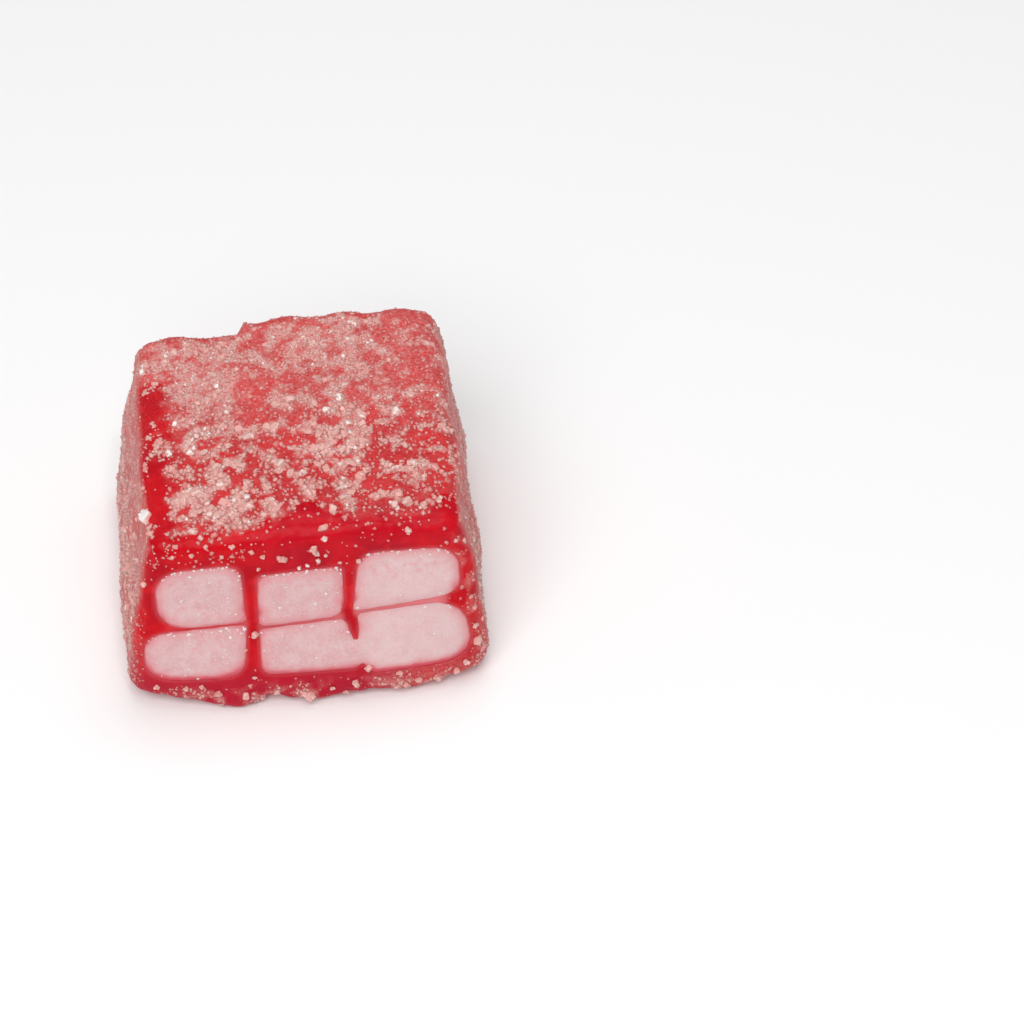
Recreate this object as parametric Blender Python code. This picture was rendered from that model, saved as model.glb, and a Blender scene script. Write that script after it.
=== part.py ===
"""A sugared liquorice brick: a red gel block with pale filling strands from end to end.

+X runs across the strands, +Y along them from the front cut to the far end, +Z is up.
The block lies on its wide side, and the origin is under its middle, on the surface it lies on.
"""
import math
import random

import bmesh
import bpy
from mathutils import Euler, Vector, geometry

MM = 0.001

# The gel block
BLOCK_HEIGHT = 13.7 * MM
FRONT_CUT_Y = -9.5 * MM
FAR_END_Y = 9.95 * MM
CENTRE_X = 0.2 * MM
CENTRE_Z = 6.9 * MM
# Corners of the block's section as (x, z, rounding), anticlockwise from the lower left
BLOCK_CORNERS = [
    (-12.0 * MM, 0.0, 1.4 * MM),
    (11.8 * MM, 0.0, 1.0 * MM),
    (10.2 * MM, BLOCK_HEIGHT, 1.1 * MM),
    (-9.5 * MM, BLOCK_HEIGHT, 1.2 * MM),
]
BLOCK_SIDE_SWELL = [0.0, 0.3 * MM, 0.15 * MM, 0.3 * MM]
BLOCK_SIDE_STEPS = [8, 6, 15, 6]
BLOCK_STATIONS = 11
HALF_WIDTH = 11.0 * MM
# The section narrows over the first part of the length, towards the front cut
FRONT_NARROWING = 0.027
NARROWED_LENGTH_SHARE = 0.4
CUT_EDGE_ROUNDING = 0.9 * MM
FAR_EDGE_ROUNDING = 1.0 * MM
# The rings that close each end face, and the angles of those that round its edge
FACE_INSETS = [4.6 * MM, 2.6 * MM]
ROUNDING_ANGLES = [90.0, 52.0, 24.0]

# The front cut leans out towards its foot, most of all in the middle
FOOT_SWELL = 1.75 * MM
FOOT_CORNER_SETBACK = 1.6 * MM
FOOT_CENTRE_X = 0.5 * MM
FOOT_HALF_WIDTH = 11.7 * MM
CUT_LEANS_FROM_Z = 12.0 * MM
CUT_LEANS_TO_Z = -1.0 * MM
# Its two lower corners curl up off the surface
CORNER_LIFT = 0.55 * MM
CORNER_LIFT_FROM_X = 5.0 * MM
CORNER_LIFT_TO_X = 12.0 * MM
CORNER_LIFT_FROM_Y = -5.0 * MM

# The far end is torn. It is longer past the wall between the left and the middle
# strands, and the tear leans over to the right where it reaches the top
FAR_STEP = 1.2 * MM
FAR_STEP_X = -2.7 * MM
FAR_STEP_WIDTH = 0.4 * MM
FAR_RIPPLE = 0.16 * MM
FAR_RIPPLE_LENGTH = 3.7 * MM
FAR_RIPPLE_START = 0.9
FAR_WAVE_SHARE = 0.6
FAR_WAVE_PER_MM = 1.1
FAR_BELLY = 0.35 * MM

# Soft lumps in the skin: a grid of waves and one slanting wave, in radians a millimetre
LUMP_HEIGHT = 0.13 * MM
LUMP_GRID_PER_MM = (0.9, 0.8)
LUMP_GRID_START = (1.3, 0.4)
LUMP_SLANT_PER_MM = (0.43, 0.61, 0.9)
LUMP_SLANT_SHARE = 0.7
LUMP_FREE_FROM_Z = 0.3 * MM
LUMP_FULL_FROM_Z = 2.5 * MM
LUMP_FADE_INSET = 2.0 * MM
LUMP_UPWARD_LEAN = 1.4

# A rounding gets one more straight step past each of these radii
ARC_STEP_LIMITS = (0.2 * MM, 0.6 * MM, 1.0 * MM)
# and takes up at most this share of the side it is on
LONGEST_ROUNDING = 0.48

# The filling strands, each a section of corners as (x, z, rounding)
STRANDS = {
    "filling_upper_left": [
        (-9.4 * MM, 6.75 * MM, 2.2 * MM),
        (-3.8 * MM, 7.1 * MM, 0.5 * MM),
        (-3.85 * MM, 11.6 * MM, 1.3 * MM),
        (-9.1 * MM, 11.4 * MM, 2.0 * MM),
    ],
    "filling_upper_middle": [
        (-3.05 * MM, 6.65 * MM, 0.6 * MM),
        (2.35 * MM, 7.0 * MM, 1.2 * MM),
        (2.4 * MM, 10.75 * MM, 0.5 * MM),
        (-2.9 * MM, 10.5 * MM, 0.5 * MM),
    ],
    "filling_upper_right": [
        (2.9 * MM, 7.25 * MM, 0.3 * MM),
        (9.75 * MM, 7.75 * MM, 1.2 * MM),
        (9.6 * MM, 11.6 * MM, 2.4 * MM),
        (3.45 * MM, 11.7 * MM, 1.5 * MM),
    ],
    "filling_lower_left": [
        (-10.55 * MM, 2.3 * MM, 2.0 * MM),
        (-4.15 * MM, 2.8 * MM, 1.7 * MM),
        (-3.8 * MM, 6.7 * MM, 0.4 * MM),
        (-10.2 * MM, 6.35 * MM, 1.8 * MM),
    ],
    # The last two strands have run into one, with a notch above and below where they met
    "filling_lower_double": [
        (10.55 * MM, 2.15 * MM, 2.3 * MM),
        (9.85 * MM, 7.1 * MM, 2.4 * MM),
        (3.3 * MM, 6.8 * MM, 0.25 * MM),
        (3.08 * MM, 4.95 * MM, 0.1 * MM),
        (2.8 * MM, 4.95 * MM, 0.1 * MM),
        (2.4 * MM, 6.5 * MM, 0.5 * MM),
        (-3.05 * MM, 6.25 * MM, 0.5 * MM),
        (-3.15 * MM, 2.8 * MM, 0.9 * MM),
        (2.75 * MM, 2.7 * MM, 0.4 * MM),
        (3.3 * MM, 3.1 * MM, 0.15 * MM),
        (3.9 * MM, 2.25 * MM, 0.5 * MM),
    ],
}
STRAND_GAP = 0.08 * MM
STRAND_DOME = 0.12 * MM
STRAND_RIM_WIDTH = 0.15 * MM
STRAND_RIM_DEPTH = 0.17 * MM
CHANNEL_OVERRUN = 6.0 * MM

# Sugar: the crystals large enough to be solid, set in the gel's skin
CRYSTAL_SEED = 17
CRYSTAL_COUNT = 200
CRYSTAL_TRIES = 9000
CRYSTAL_SMALLEST = 0.5 * MM
CRYSTAL_LARGEST = 1.0 * MM
CRYSTAL_SPACING = 1.22 * MM
CRYSTAL_SUNK = 0.18
CRYSTAL_CLEAR_OF_FLOOR = 0.75 * MM
CRYSTAL_CLEAR_OF_STRAND = 0.75 * MM
# A crystal's cube is a little smaller than its size and is then drawn out of square
CRYSTAL_CUBE_SHARE = 0.8
CRYSTAL_LENGTHS = (0.85, 1.3)
CRYSTAL_WIDTHS = (0.75, 1.0)
CRYSTAL_HEIGHTS = (0.7, 0.95)
CRYSTAL_CORNER_PULL = (0.82, 1.1)
# The share of tries that stick; the top's front and left edges are nearly bare
SUGAR_ON_TOP = 0.9
SUGAR_ON_SIDES = 0.8
SUGAR_ON_ENDS = 0.35
SUGAR_FROM_FRONT = (1.2 * MM, 3.4 * MM)
SUGAR_FROM_LEFT_X = (-9.6 * MM, -8.0 * MM)
SUGAR_ON_LEFT_EDGE = 0.35
# Which way a face looks: past these it counts as top, as an end or as underneath
TOP_NORMAL = 0.6
END_NORMAL = 0.5
UNDER_NORMAL = -0.5

GEL_RED = (0.60, 0.010, 0.022)
FILLING_PINK = (0.76, 0.50, 0.53)


def smooth_step(value, start, end):
    """Runs softly from 0 at start to 1 at end."""
    share = min(1.0, max(0.0, (value - start) / (end - start)))
    return share * share * (3.0 - 2.0 * share)


def arc_steps(radius):
    """How many straight steps a corner's rounding is made of."""
    return 1 + sum(radius > limit for limit in ARC_STEP_LIMITS)


def rounded_outline(corners, swell=None, side_steps=None):
    """The closed outline through rounded corners; each side may swell out by its own amount."""
    count = len(corners)
    swell = swell or [0.0] * count
    side_steps = side_steps or [1] * count
    arcs = []
    for index, (x, z, radius) in enumerate(corners):
        corner = Vector((x, z))
        before = Vector(corners[index - 1][:2]) - corner
        after = Vector(corners[(index + 1) % count][:2]) - corner
        half_angle = before.angle(after) / 2.0
        longest = LONGEST_ROUNDING * min(before.length, after.length)
        reach = min(radius / math.tan(half_angle), longest)
        start = corner + before.normalized() * reach
        end = corner + after.normalized() * reach
        # A quadratic curve from start to end with the corner as its handle
        arc = []
        steps = arc_steps(radius)
        for step in range(steps + 1):
            t = step / steps
            arc.append(start * (1 - t) ** 2 + corner * 2 * t * (1 - t) + end * t * t)
        arcs.append(arc)
    points = []
    for index, arc in enumerate(arcs):
        following = arcs[(index + 1) % count][0]
        points.extend(arc)
        side = following - arc[-1]
        outward = Vector((side.y, -side.x)).normalized()
        for step in range(1, side_steps[index]):
            t = step / side_steps[index]
            points.append(arc[-1] + side * t + outward * swell[index] * 4 * t * (1 - t))
    return points


def offset_outline(points, distance):
    """The outline moved outwards by a distance, along the mean of its sides' normals."""
    moved = []
    for index, point in enumerate(points):
        side_in = (point - points[index - 1]).normalized()
        side_out = (points[(index + 1) % len(points)] - point).normalized()
        normal = Vector((side_in.y + side_out.y, -side_in.x - side_out.x)).normalized()
        lean = max(0.5, normal.dot(Vector((side_in.y, -side_in.x))))
        moved.append(point + normal * distance / lean)
    return moved


def front_y(x, z):
    """Where the front cut lies at a place on the section."""
    foot = 1.0 - smooth_step(z, CUT_LEANS_TO_Z, CUT_LEANS_FROM_Z)
    across = abs((x - FOOT_CENTRE_X) / FOOT_HALF_WIDTH) ** 3
    return FRONT_CUT_Y - foot * (FOOT_SWELL - FOOT_CORNER_SETBACK * across)


def far_y(x, z):
    """Where the torn far end lies at a place on the section."""
    step = FAR_STEP * smooth_step(x, FAR_STEP_X - FAR_STEP_WIDTH, FAR_STEP_X + FAR_STEP_WIDTH)
    ripple = math.sin(2 * math.pi * x / FAR_RIPPLE_LENGTH + FAR_RIPPLE_START)
    ripple += FAR_WAVE_SHARE * math.sin(z / MM * FAR_WAVE_PER_MM)
    belly = FAR_BELLY * math.sin(math.pi * min(1.0, z / BLOCK_HEIGHT))
    return FAR_END_Y + step + FAR_RIPPLE * ripple + belly


def corner_lift(x, y, z):
    """How far the front's lower corners curl up off the surface."""
    across = smooth_step(abs(x - CENTRE_X), CORNER_LIFT_FROM_X, CORNER_LIFT_TO_X)
    along = smooth_step(-y, -CORNER_LIFT_FROM_Y, -FRONT_CUT_Y)
    return CORNER_LIFT * across * along * (1.0 - z / BLOCK_HEIGHT) ** 2


def lumps(x, y, z):
    """Soft unevenness of the gel's skin, none at all on the face it lies on."""
    waves = math.sin(x / MM * LUMP_GRID_PER_MM[0] + LUMP_GRID_START[0])
    waves *= math.sin(y / MM * LUMP_GRID_PER_MM[1] + LUMP_GRID_START[1])
    slant = sum(place / MM * per_mm for place, per_mm in zip((x, y, z), LUMP_SLANT_PER_MM))
    waves += LUMP_SLANT_SHARE * math.sin(slant)
    return LUMP_HEIGHT * waves * smooth_step(z, LUMP_FREE_FROM_Z, LUMP_FULL_FROM_Z)


def block_point(x, z, share, depth=0.0, inset=0.0):
    """A point of the block: share runs from the front cut to the far end.

    Depth is the way back from either end face, and inset the way in from the section's outline.
    """
    x = CENTRE_X + (x - CENTRE_X) * (1.0 - inset / HALF_WIDTH)
    z = CENTRE_Z + (z - CENTRE_Z) * (1.0 - inset / CENTRE_Z)
    narrowing = 1.0 - FRONT_NARROWING * (1.0 - smooth_step(share, 0.0, NARROWED_LENGTH_SHARE))
    x = CENTRE_X + (x - CENTRE_X) * narrowing
    near = front_y(x, z) + depth
    far = far_y(x, z) - depth
    y = near + (far - near) * share
    outward = Vector((x - CENTRE_X, 0.0, (z - CENTRE_Z) * LUMP_UPWARD_LEAN)).normalized()
    swell = lumps(x, y, z) * (1.0 - min(1.0, inset / LUMP_FADE_INSET))
    point = Vector((x, y, z)) + outward * swell
    point.z = max(0.0, point.z + corner_lift(x, y, z))
    return point


def block_rings(outline):
    """Rings of points from the middle of the front cut to the middle of the far end."""
    rings = []
    for inset in FACE_INSETS:
        rings.append([block_point(p.x, p.y, 0.0, 0.0, inset) for p in outline])
    for angle in ROUNDING_ANGLES:
        inset = CUT_EDGE_ROUNDING * (1 - math.cos(math.radians(angle)))
        depth = CUT_EDGE_ROUNDING * (1 - math.sin(math.radians(angle)))
        rings.append([block_point(p.x, p.y, 0.0, depth, inset) for p in outline])
    for station in range(BLOCK_STATIONS + 1):
        share = station / BLOCK_STATIONS
        depth = CUT_EDGE_ROUNDING + (FAR_EDGE_ROUNDING - CUT_EDGE_ROUNDING) * share
        rings.append([block_point(p.x, p.y, share, depth) for p in outline])
    for angle in reversed(ROUNDING_ANGLES):
        inset = FAR_EDGE_ROUNDING * (1 - math.cos(math.radians(angle)))
        depth = FAR_EDGE_ROUNDING * (1 - math.sin(math.radians(angle)))
        rings.append([block_point(p.x, p.y, 1.0, depth, inset) for p in outline])
    for inset in reversed(FACE_INSETS):
        rings.append([block_point(p.x, p.y, 1.0, 0.0, inset) for p in outline])
    return rings


def mesh_object(name, rings, material=None):
    """A closed object through rings of points, with a face over each end."""
    shape = bmesh.new()
    rows = [[shape.verts.new(point) for point in ring] for ring in rings]
    for row in (rows[-1], rows[0]):
        shape.faces.new(row)
    for row, following in zip(rows, rows[1:]):
        for index in range(len(row)):
            beside = (index + 1) % len(row)
            shape.faces.new((row[index], row[beside], following[beside], following[index]))
    shape.normal_update()
    bmesh.ops.triangulate(shape, faces=shape.faces[:], ngon_method="EAR_CLIP")
    bmesh.ops.recalc_face_normals(shape, faces=shape.faces[:])
    if shape.calc_volume(signed=True) < 0.0:
        bmesh.ops.reverse_faces(shape, faces=shape.faces[:])
    mesh = bpy.data.meshes.new(name)
    shape.to_mesh(mesh)
    shape.free()
    made = bpy.data.objects.new(name, mesh)
    bpy.context.collection.objects.link(made)
    if material:
        mesh.materials.append(material)
    return made


def principled(name, colour, roughness):
    """A plain Principled material in one colour."""
    material = bpy.data.materials.new(name)
    material.use_nodes = True
    shader = material.node_tree.nodes["Principled BSDF"]
    shader.inputs["Base Color"].default_value = (*colour, 1.0)
    shader.inputs["Roughness"].default_value = roughness
    shader.inputs["Metallic"].default_value = 0.0
    return material


def apply_modifiers(target):
    """Makes what the modifiers give the object's own mesh."""
    evaluated = target.evaluated_get(bpy.context.evaluated_depsgraph_get())
    shaped = bpy.data.meshes.new_from_object(evaluated)
    target.modifiers.clear()
    target.data = shaped


def remove_objects(objects):
    for thing in objects:
        bpy.data.objects.remove(thing, do_unlink=True)


def strand_outline(corners, gap=0.0):
    """A strand's section, or with a gap the section of the channel round it."""
    outline = rounded_outline(corners)
    return offset_outline(outline, gap) if gap else outline


def strand_y(point, share):
    """The end faces of a strand stand a little proud of the gel's."""
    ends = (front_y(point.x, point.y) - STRAND_DOME, far_y(point.x, point.y) + STRAND_DOME)
    return ends[0] + (ends[1] - ends[0]) * share


def make_strand(name, corners, material):
    """One filling strand, with its two end edges rounded over."""
    outline = strand_outline(corners)
    inner = offset_outline(outline, -STRAND_RIM_WIDTH)
    rings = [
        [Vector((p.x, strand_y(p, 0.0), p.y)) for p in inner],
        [Vector((p.x, strand_y(p, 0.0) + STRAND_RIM_DEPTH, p.y)) for p in outline],
        [Vector((p.x, strand_y(p, 1.0) - STRAND_RIM_DEPTH, p.y)) for p in outline],
        [Vector((p.x, strand_y(p, 1.0), p.y)) for p in inner],
    ]
    return mesh_object(name, rings, material)


def cut_channels(block):
    """Cuts a through channel for each strand out of the block."""
    cutters = bpy.data.collections.new("channel_cutters")
    bpy.context.scene.collection.children.link(cutters)
    for name, corners in STRANDS.items():
        outline = strand_outline(corners, STRAND_GAP)
        ends = (FRONT_CUT_Y - CHANNEL_OVERRUN, FAR_END_Y + CHANNEL_OVERRUN)
        rings = [[Vector((p.x, y, p.y)) for p in outline] for y in ends]
        cutter = mesh_object("cutter_" + name, rings)
        bpy.context.collection.objects.unlink(cutter)
        cutters.objects.link(cutter)
        cutter.hide_render = True
        cutter.display_type = "WIRE"
    cut = block.modifiers.new("channels", "BOOLEAN")
    cut.operation = "DIFFERENCE"
    cut.operand_type = "COLLECTION"
    cut.collection = cutters
    apply_modifiers(block)
    remove_objects(list(cutters.objects))
    bpy.data.collections.remove(cutters)


def crystal_places(block):
    """Places for crystals on the skin as (point, normal), where the sugar sticks."""
    draw = random.Random(CRYSTAL_SEED)
    mesh = block.data
    mesh.calc_loop_triangles()
    triangles = []
    areas = []
    for triangle in mesh.loop_triangles:
        corners = [mesh.vertices[index].co.copy() for index in triangle.vertices]
        triangles.append((corners, triangle.normal.copy()))
        areas.append(triangle.area)
    places = []
    for _ in range(CRYSTAL_TRIES):
        corners, normal = draw.choices(triangles, areas)[0]
        a, b = draw.random(), draw.random()
        if a + b > 1.0:
            a, b = 1.0 - a, 1.0 - b
        point = corners[0] + (corners[1] - corners[0]) * a + (corners[2] - corners[0]) * b
        if draw.random() > sugar_share(point, normal):
            continue
        if any((point - other).length < CRYSTAL_SPACING for other, _ in places):
            continue
        places.append((point, normal))
        if len(places) == CRYSTAL_COUNT:
            break
    return places


def sugar_share(point, normal):
    """How likely sugar is to stick at a place on the block's skin, from 0 to 1."""
    if point.z < CRYSTAL_CLEAR_OF_FLOOR or normal.z < UNDER_NORMAL or near_a_strand(point):
        return 0.0
    if abs(normal.y) > END_NORMAL:
        return SUGAR_ON_ENDS
    if normal.z > TOP_NORMAL:
        behind_front = smooth_step(point.y - FRONT_CUT_Y, *SUGAR_FROM_FRONT)
        right_of_edge = smooth_step(point.x, *SUGAR_FROM_LEFT_X)
        edge_share = SUGAR_ON_LEFT_EDGE + (1.0 - SUGAR_ON_LEFT_EDGE) * right_of_edge
        return SUGAR_ON_TOP * behind_front * edge_share
    return SUGAR_ON_SIDES


def near_a_strand(point):
    """Whether a point lies over a strand's section, or too close to it for a crystal."""
    place = Vector((point.x, point.z))
    for corners in STRANDS.values():
        outline = strand_outline(corners)
        inside = False
        for start, end in zip(outline, outline[1:] + outline[:1]):
            share = geometry.intersect_point_line(place, start, end)[1]
            nearest = start.lerp(end, min(1.0, max(0.0, share)))
            if (place - nearest).length < CRYSTAL_CLEAR_OF_STRAND:
                return True
            if (start.y > place.y) != (end.y > place.y):
                crossing = start.x + (place.y - start.y) * (end.x - start.x) / (end.y - start.y)
                inside = inside != (place.x < crossing)
        if inside:
            return True
    return False


def make_crystal(draw, size):
    """A blocky sugar crystal: a cube with its corners pulled about."""
    shape = bmesh.new()
    bmesh.ops.create_cube(shape, size=size)
    length, width = draw.uniform(*CRYSTAL_LENGTHS), draw.uniform(*CRYSTAL_WIDTHS)
    for vertex in shape.verts:
        vertex.co.x *= length * draw.uniform(*CRYSTAL_CORNER_PULL)
        vertex.co.y *= width * draw.uniform(*CRYSTAL_CORNER_PULL)
        vertex.co.z *= draw.uniform(*CRYSTAL_HEIGHTS)
    bmesh.ops.triangulate(shape, faces=shape.faces[:])
    mesh = bpy.data.meshes.new("crystal")
    shape.to_mesh(mesh)
    shape.free()
    return bpy.data.objects.new("crystal", mesh)


def add_crystals(block, places, material):
    """Fuses the large crystals to the block with one union."""
    draw = random.Random(CRYSTAL_SEED + 1)
    sugar = bpy.data.collections.new("crystals")
    bpy.context.scene.collection.children.link(sugar)
    for point, normal in places:
        size = CRYSTAL_SMALLEST + (CRYSTAL_LARGEST - CRYSTAL_SMALLEST) * draw.random() ** 2
        crystal = make_crystal(draw, size * CRYSTAL_CUBE_SHARE)
        turn = Euler([draw.uniform(0.0, 2 * math.pi) for _ in range(3)])
        crystal.matrix_world = turn.to_matrix().to_4x4()
        crystal.location = point - normal * size * CRYSTAL_SUNK
        sugar.objects.link(crystal)
    join = block.modifiers.new("sugar", "BOOLEAN")
    join.operation = "UNION"
    join.operand_type = "COLLECTION"
    join.collection = sugar
    apply_modifiers(block)
    print("crystals fused:", len(sugar.objects))
    remove_objects(list(sugar.objects))
    bpy.data.collections.remove(sugar)
    block.data.materials.clear()
    block.data.materials.append(material)


def centre_on_origin(root, nodes):
    """Moves the whole brick so that its box stands centred over the origin."""
    corners = [vertex.co for node in nodes for vertex in node.data.vertices]
    for axis in (0, 1):
        values = [corner[axis] for corner in corners]
        root.location[axis] = -(min(values) + max(values)) / 2.0
    print("centred by", [round(value / MM, 4) for value in root.location])


def main():
    for thing in list(bpy.data.objects):
        bpy.data.objects.remove(thing, do_unlink=True)
    gel = principled("red_gel", GEL_RED, 0.25)
    filling = principled("pink_filling", FILLING_PINK, 0.6)

    outline = rounded_outline(BLOCK_CORNERS, BLOCK_SIDE_SWELL, BLOCK_SIDE_STEPS)
    block = mesh_object("gel_body", block_rings(outline), gel)
    places = crystal_places(block)
    cut_channels(block)
    add_crystals(block, places, gel)
    nodes = [block]
    for name, corners in STRANDS.items():
        nodes.append(make_strand(name, corners, filling))

    root = bpy.data.objects.new("liquorice_brick", None)
    bpy.context.collection.objects.link(root)
    centre_on_origin(root, nodes)
    for node in nodes:
        node.parent = root
        print(node.name, len(node.data.polygons), "faces")


main()
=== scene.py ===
# %% [markdown]
# # A sugared liquorice brick
#
# The sweet is a block of clear red gel. Six strands of pale filling were pressed
# through it side by side, in two rows of three, and the block was then cut across,
# so the strands show as soft pink windows in the cut. Two of them have run into one.
# It was rolled in sugar before its front was cut, so crystals cover the top, the sides
# and the torn far end, and only stray grains lie on the fresh cut.
#
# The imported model's solids are the frame. The pieces below replace them, one for one,
# with surfaces fine enough to carry what a faceted solid can't.

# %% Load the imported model
import math

import bpy
import numpy as np
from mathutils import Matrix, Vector, noise


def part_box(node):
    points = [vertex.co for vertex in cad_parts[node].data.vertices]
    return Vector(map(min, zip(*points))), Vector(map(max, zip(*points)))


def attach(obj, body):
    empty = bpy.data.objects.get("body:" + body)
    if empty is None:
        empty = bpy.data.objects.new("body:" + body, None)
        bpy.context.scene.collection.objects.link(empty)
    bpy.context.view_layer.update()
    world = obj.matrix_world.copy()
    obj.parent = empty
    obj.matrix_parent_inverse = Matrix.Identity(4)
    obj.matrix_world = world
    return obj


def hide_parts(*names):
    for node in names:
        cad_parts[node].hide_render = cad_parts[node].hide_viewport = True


MM = 0.001
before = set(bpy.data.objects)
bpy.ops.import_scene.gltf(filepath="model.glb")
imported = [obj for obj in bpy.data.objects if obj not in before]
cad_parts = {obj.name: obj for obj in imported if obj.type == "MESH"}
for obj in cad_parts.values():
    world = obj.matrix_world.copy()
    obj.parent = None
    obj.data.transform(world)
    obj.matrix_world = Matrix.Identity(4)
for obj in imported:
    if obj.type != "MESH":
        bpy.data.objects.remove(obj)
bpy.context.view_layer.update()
print("nodes:", sorted(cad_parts))


# %% [markdown]
# ## The block's form
#
# The block is wider at its foot than at its top, its cut leans out towards the foot,
# and the far end is torn, longer behind two of its three columns of strands.
# These are the driving sizes of the part's source, so what is modelled here lies on the
# solids it stands for. They are in millimetres, and every mesh is brought to metres
# when it is finished.

# %% Sizes of the block
BLOCK_HEIGHT = 13.7
FRONT_CUT_Y = -9.5
FAR_END_Y = 9.95
CENTRE_X = 0.2
CENTRE_Z = 6.9
FOOT_LEFT, FOOT_RIGHT = -12.0, 11.8
TOP_LEFT, TOP_RIGHT = -9.5, 10.2
EDGE_ROUNDING = 1.1
SIDE_SWELL = 0.3
TOP_SWELL = 0.15
HALF_WIDTH = 11.0

FRONT_NARROWING = 0.027
FOOT_SWELL = 1.75
FOOT_SWELL_Z = (-1.0, 12.0)
FOOT_CORNER_SETBACK = 1.6
FOOT_CENTRE_X = 0.5
FOOT_HALF_WIDTH = 11.7
CORNER_LIFT = 0.55
CORNER_LIFT_ACROSS = (5.0, 12.0)
CORNER_LIFT_FROM_Y = -5.0
FAR_STEP = 1.2
FAR_STEP_X = -2.7
FAR_STEP_WIDTH = 0.4
FAR_RIPPLE = 0.16
FAR_RIPPLE_LENGTH = 3.7
FAR_BELLY = 0.35
LUMP_HEIGHT = 0.13
LUMP_Z = (0.3, 2.5)

# The filling strands' sections: corners as (x, z, rounding), anticlockwise
STRANDS = {
    "filling_upper_left": [(-9.4, 6.75, 2.2), (-3.8, 7.1, 0.5), (-3.85, 11.6, 1.3), (-9.1, 11.4, 2.0)],
    "filling_upper_middle": [(-3.05, 6.65, 0.6), (2.35, 7.0, 1.2), (2.4, 10.75, 0.5), (-2.9, 10.5, 0.5)],
    "filling_upper_right": [(2.9, 7.25, 0.3), (9.75, 7.75, 1.2), (9.6, 11.6, 2.4), (3.45, 11.7, 1.5)],
    "filling_lower_left": [(-10.55, 2.3, 2.0), (-4.15, 2.8, 1.7), (-3.8, 6.7, 0.4), (-10.2, 6.35, 1.8)],
    "filling_lower_double": [
        (10.55, 2.15, 2.3), (9.85, 7.1, 2.4), (3.3, 6.8, 0.25), (3.08, 4.95, 0.1), (2.8, 4.95, 0.1),
        (2.4, 6.5, 0.5), (-3.05, 6.25, 0.5), (-3.15, 2.8, 0.9), (2.75, 2.7, 0.4), (3.3, 3.1, 0.15),
        (3.9, 2.25, 0.5),
    ],
}


# %% [markdown]
# The form is kept as rules that give a surface for any place, not as a drawing, so that
# the gel, the strands and later the sugar can all ask where the skin lies.

# %% The rules that shape the block
def fade(value, start, end):
    """Runs softly from 0 at start to 1 at end, whichever is larger. Takes arrays too."""
    share = np.clip((value - start) / (end - start), 0.0, 1.0)
    return share * share * (3.0 - 2.0 * share)


def front_y(x, z):
    """Where the front cut lies at a place on the section."""
    foot = 1.0 - fade(z, *FOOT_SWELL_Z)
    across = np.abs((x - FOOT_CENTRE_X) / FOOT_HALF_WIDTH) ** 3
    return FRONT_CUT_Y - foot * (FOOT_SWELL - FOOT_CORNER_SETBACK * across)


def far_y(x, z):
    """Where the torn far end lies at a place on the section."""
    step = FAR_STEP * fade(x - FAR_STEP_X, -FAR_STEP_WIDTH, FAR_STEP_WIDTH)
    ripple = np.sin(2 * np.pi * x / FAR_RIPPLE_LENGTH + 0.9) + 0.6 * np.sin(z * 1.1)
    belly = FAR_BELLY * np.sin(np.pi * np.clip(z / BLOCK_HEIGHT, 0.0, 1.0))
    return FAR_END_Y + step + FAR_RIPPLE * ripple + belly


def lumps(x, y, z):
    """Soft lumps of the gel's skin, in waves of unlike lengths, and none under the block."""
    waves = np.sin(x * 0.9 + 1.3) * np.sin(y * 0.8 + 0.4)
    waves += 0.7 * np.sin(x * 0.43 + y * 0.61 + z * 0.9)
    return LUMP_HEIGHT * waves * fade(z, *LUMP_Z)


def corner_lift(x, y, z):
    """How far the front's lower corners curl up off the surface."""
    across = fade(np.abs(x - CENTRE_X), *CORNER_LIFT_ACROSS)
    along = fade(y, CORNER_LIFT_FROM_Y, FRONT_CUT_Y)
    return CORNER_LIFT * across * along * (1.0 - z / BLOCK_HEIGHT) ** 2


CORNER_STEPS = 8
LONGEST_REACH = 0.48


def rounded_outline(corners):
    """The closed outline through rounded corners, as an array of (x, z)."""
    count = len(corners)
    points = []
    for index, (x, z, radius) in enumerate(corners):
        corner = Vector((x, z))
        before = Vector(corners[index - 1][:2]) - corner
        after = Vector(corners[(index + 1) % count][:2]) - corner
        half_angle = before.angle(after) / 2.0
        longest = LONGEST_REACH * min(before.length, after.length)
        reach = min(radius / math.tan(half_angle), longest)
        start = corner + before.normalized() * reach
        end = corner + after.normalized() * reach
        for step in range(CORNER_STEPS + 1):
            t = step / CORNER_STEPS
            points.append(start * (1 - t) ** 2 + corner * 2 * t * (1 - t) + end * t * t)
    return np.array([tuple(point) for point in points])


OUTLINES = {name: rounded_outline(corners) for name, corners in STRANDS.items()}


# %% [markdown]
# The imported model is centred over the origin, and the sizes above are not, so the
# two differ by a small shift. It is measured on one strand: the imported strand's lowest
# corner against the same corner worked out here.

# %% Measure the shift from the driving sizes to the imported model
STRAND_DOME = 0.12
probe = "filling_lower_double"
probe_outline = OUTLINES[probe]
probe_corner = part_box(probe)[0] / MM
probe_front = (front_y(probe_outline[:, 0], probe_outline[:, 1]) - STRAND_DOME).min()
SHIFT = np.array([probe_corner.x - probe_outline[:, 0].min(), probe_corner.y - probe_front, 0.0])
print("shift in mm:", SHIFT.round(3))


# %% [markdown]
# ## Helpers for modelling by hand in code
#
# Every operator acts on all that is selected, and loading the frame leaves its nodes
# selected. So each step starts by deselecting everything, and each mesh is read and
# written back as one array of points.

# %% Helpers
def deselect_all():
    bpy.ops.object.select_all(action="DESELECT")


def make_active(thing):
    """Selects one object alone, for the next operators."""
    deselect_all()
    thing.select_set(True)
    bpy.context.view_layer.objects.active = thing


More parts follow.
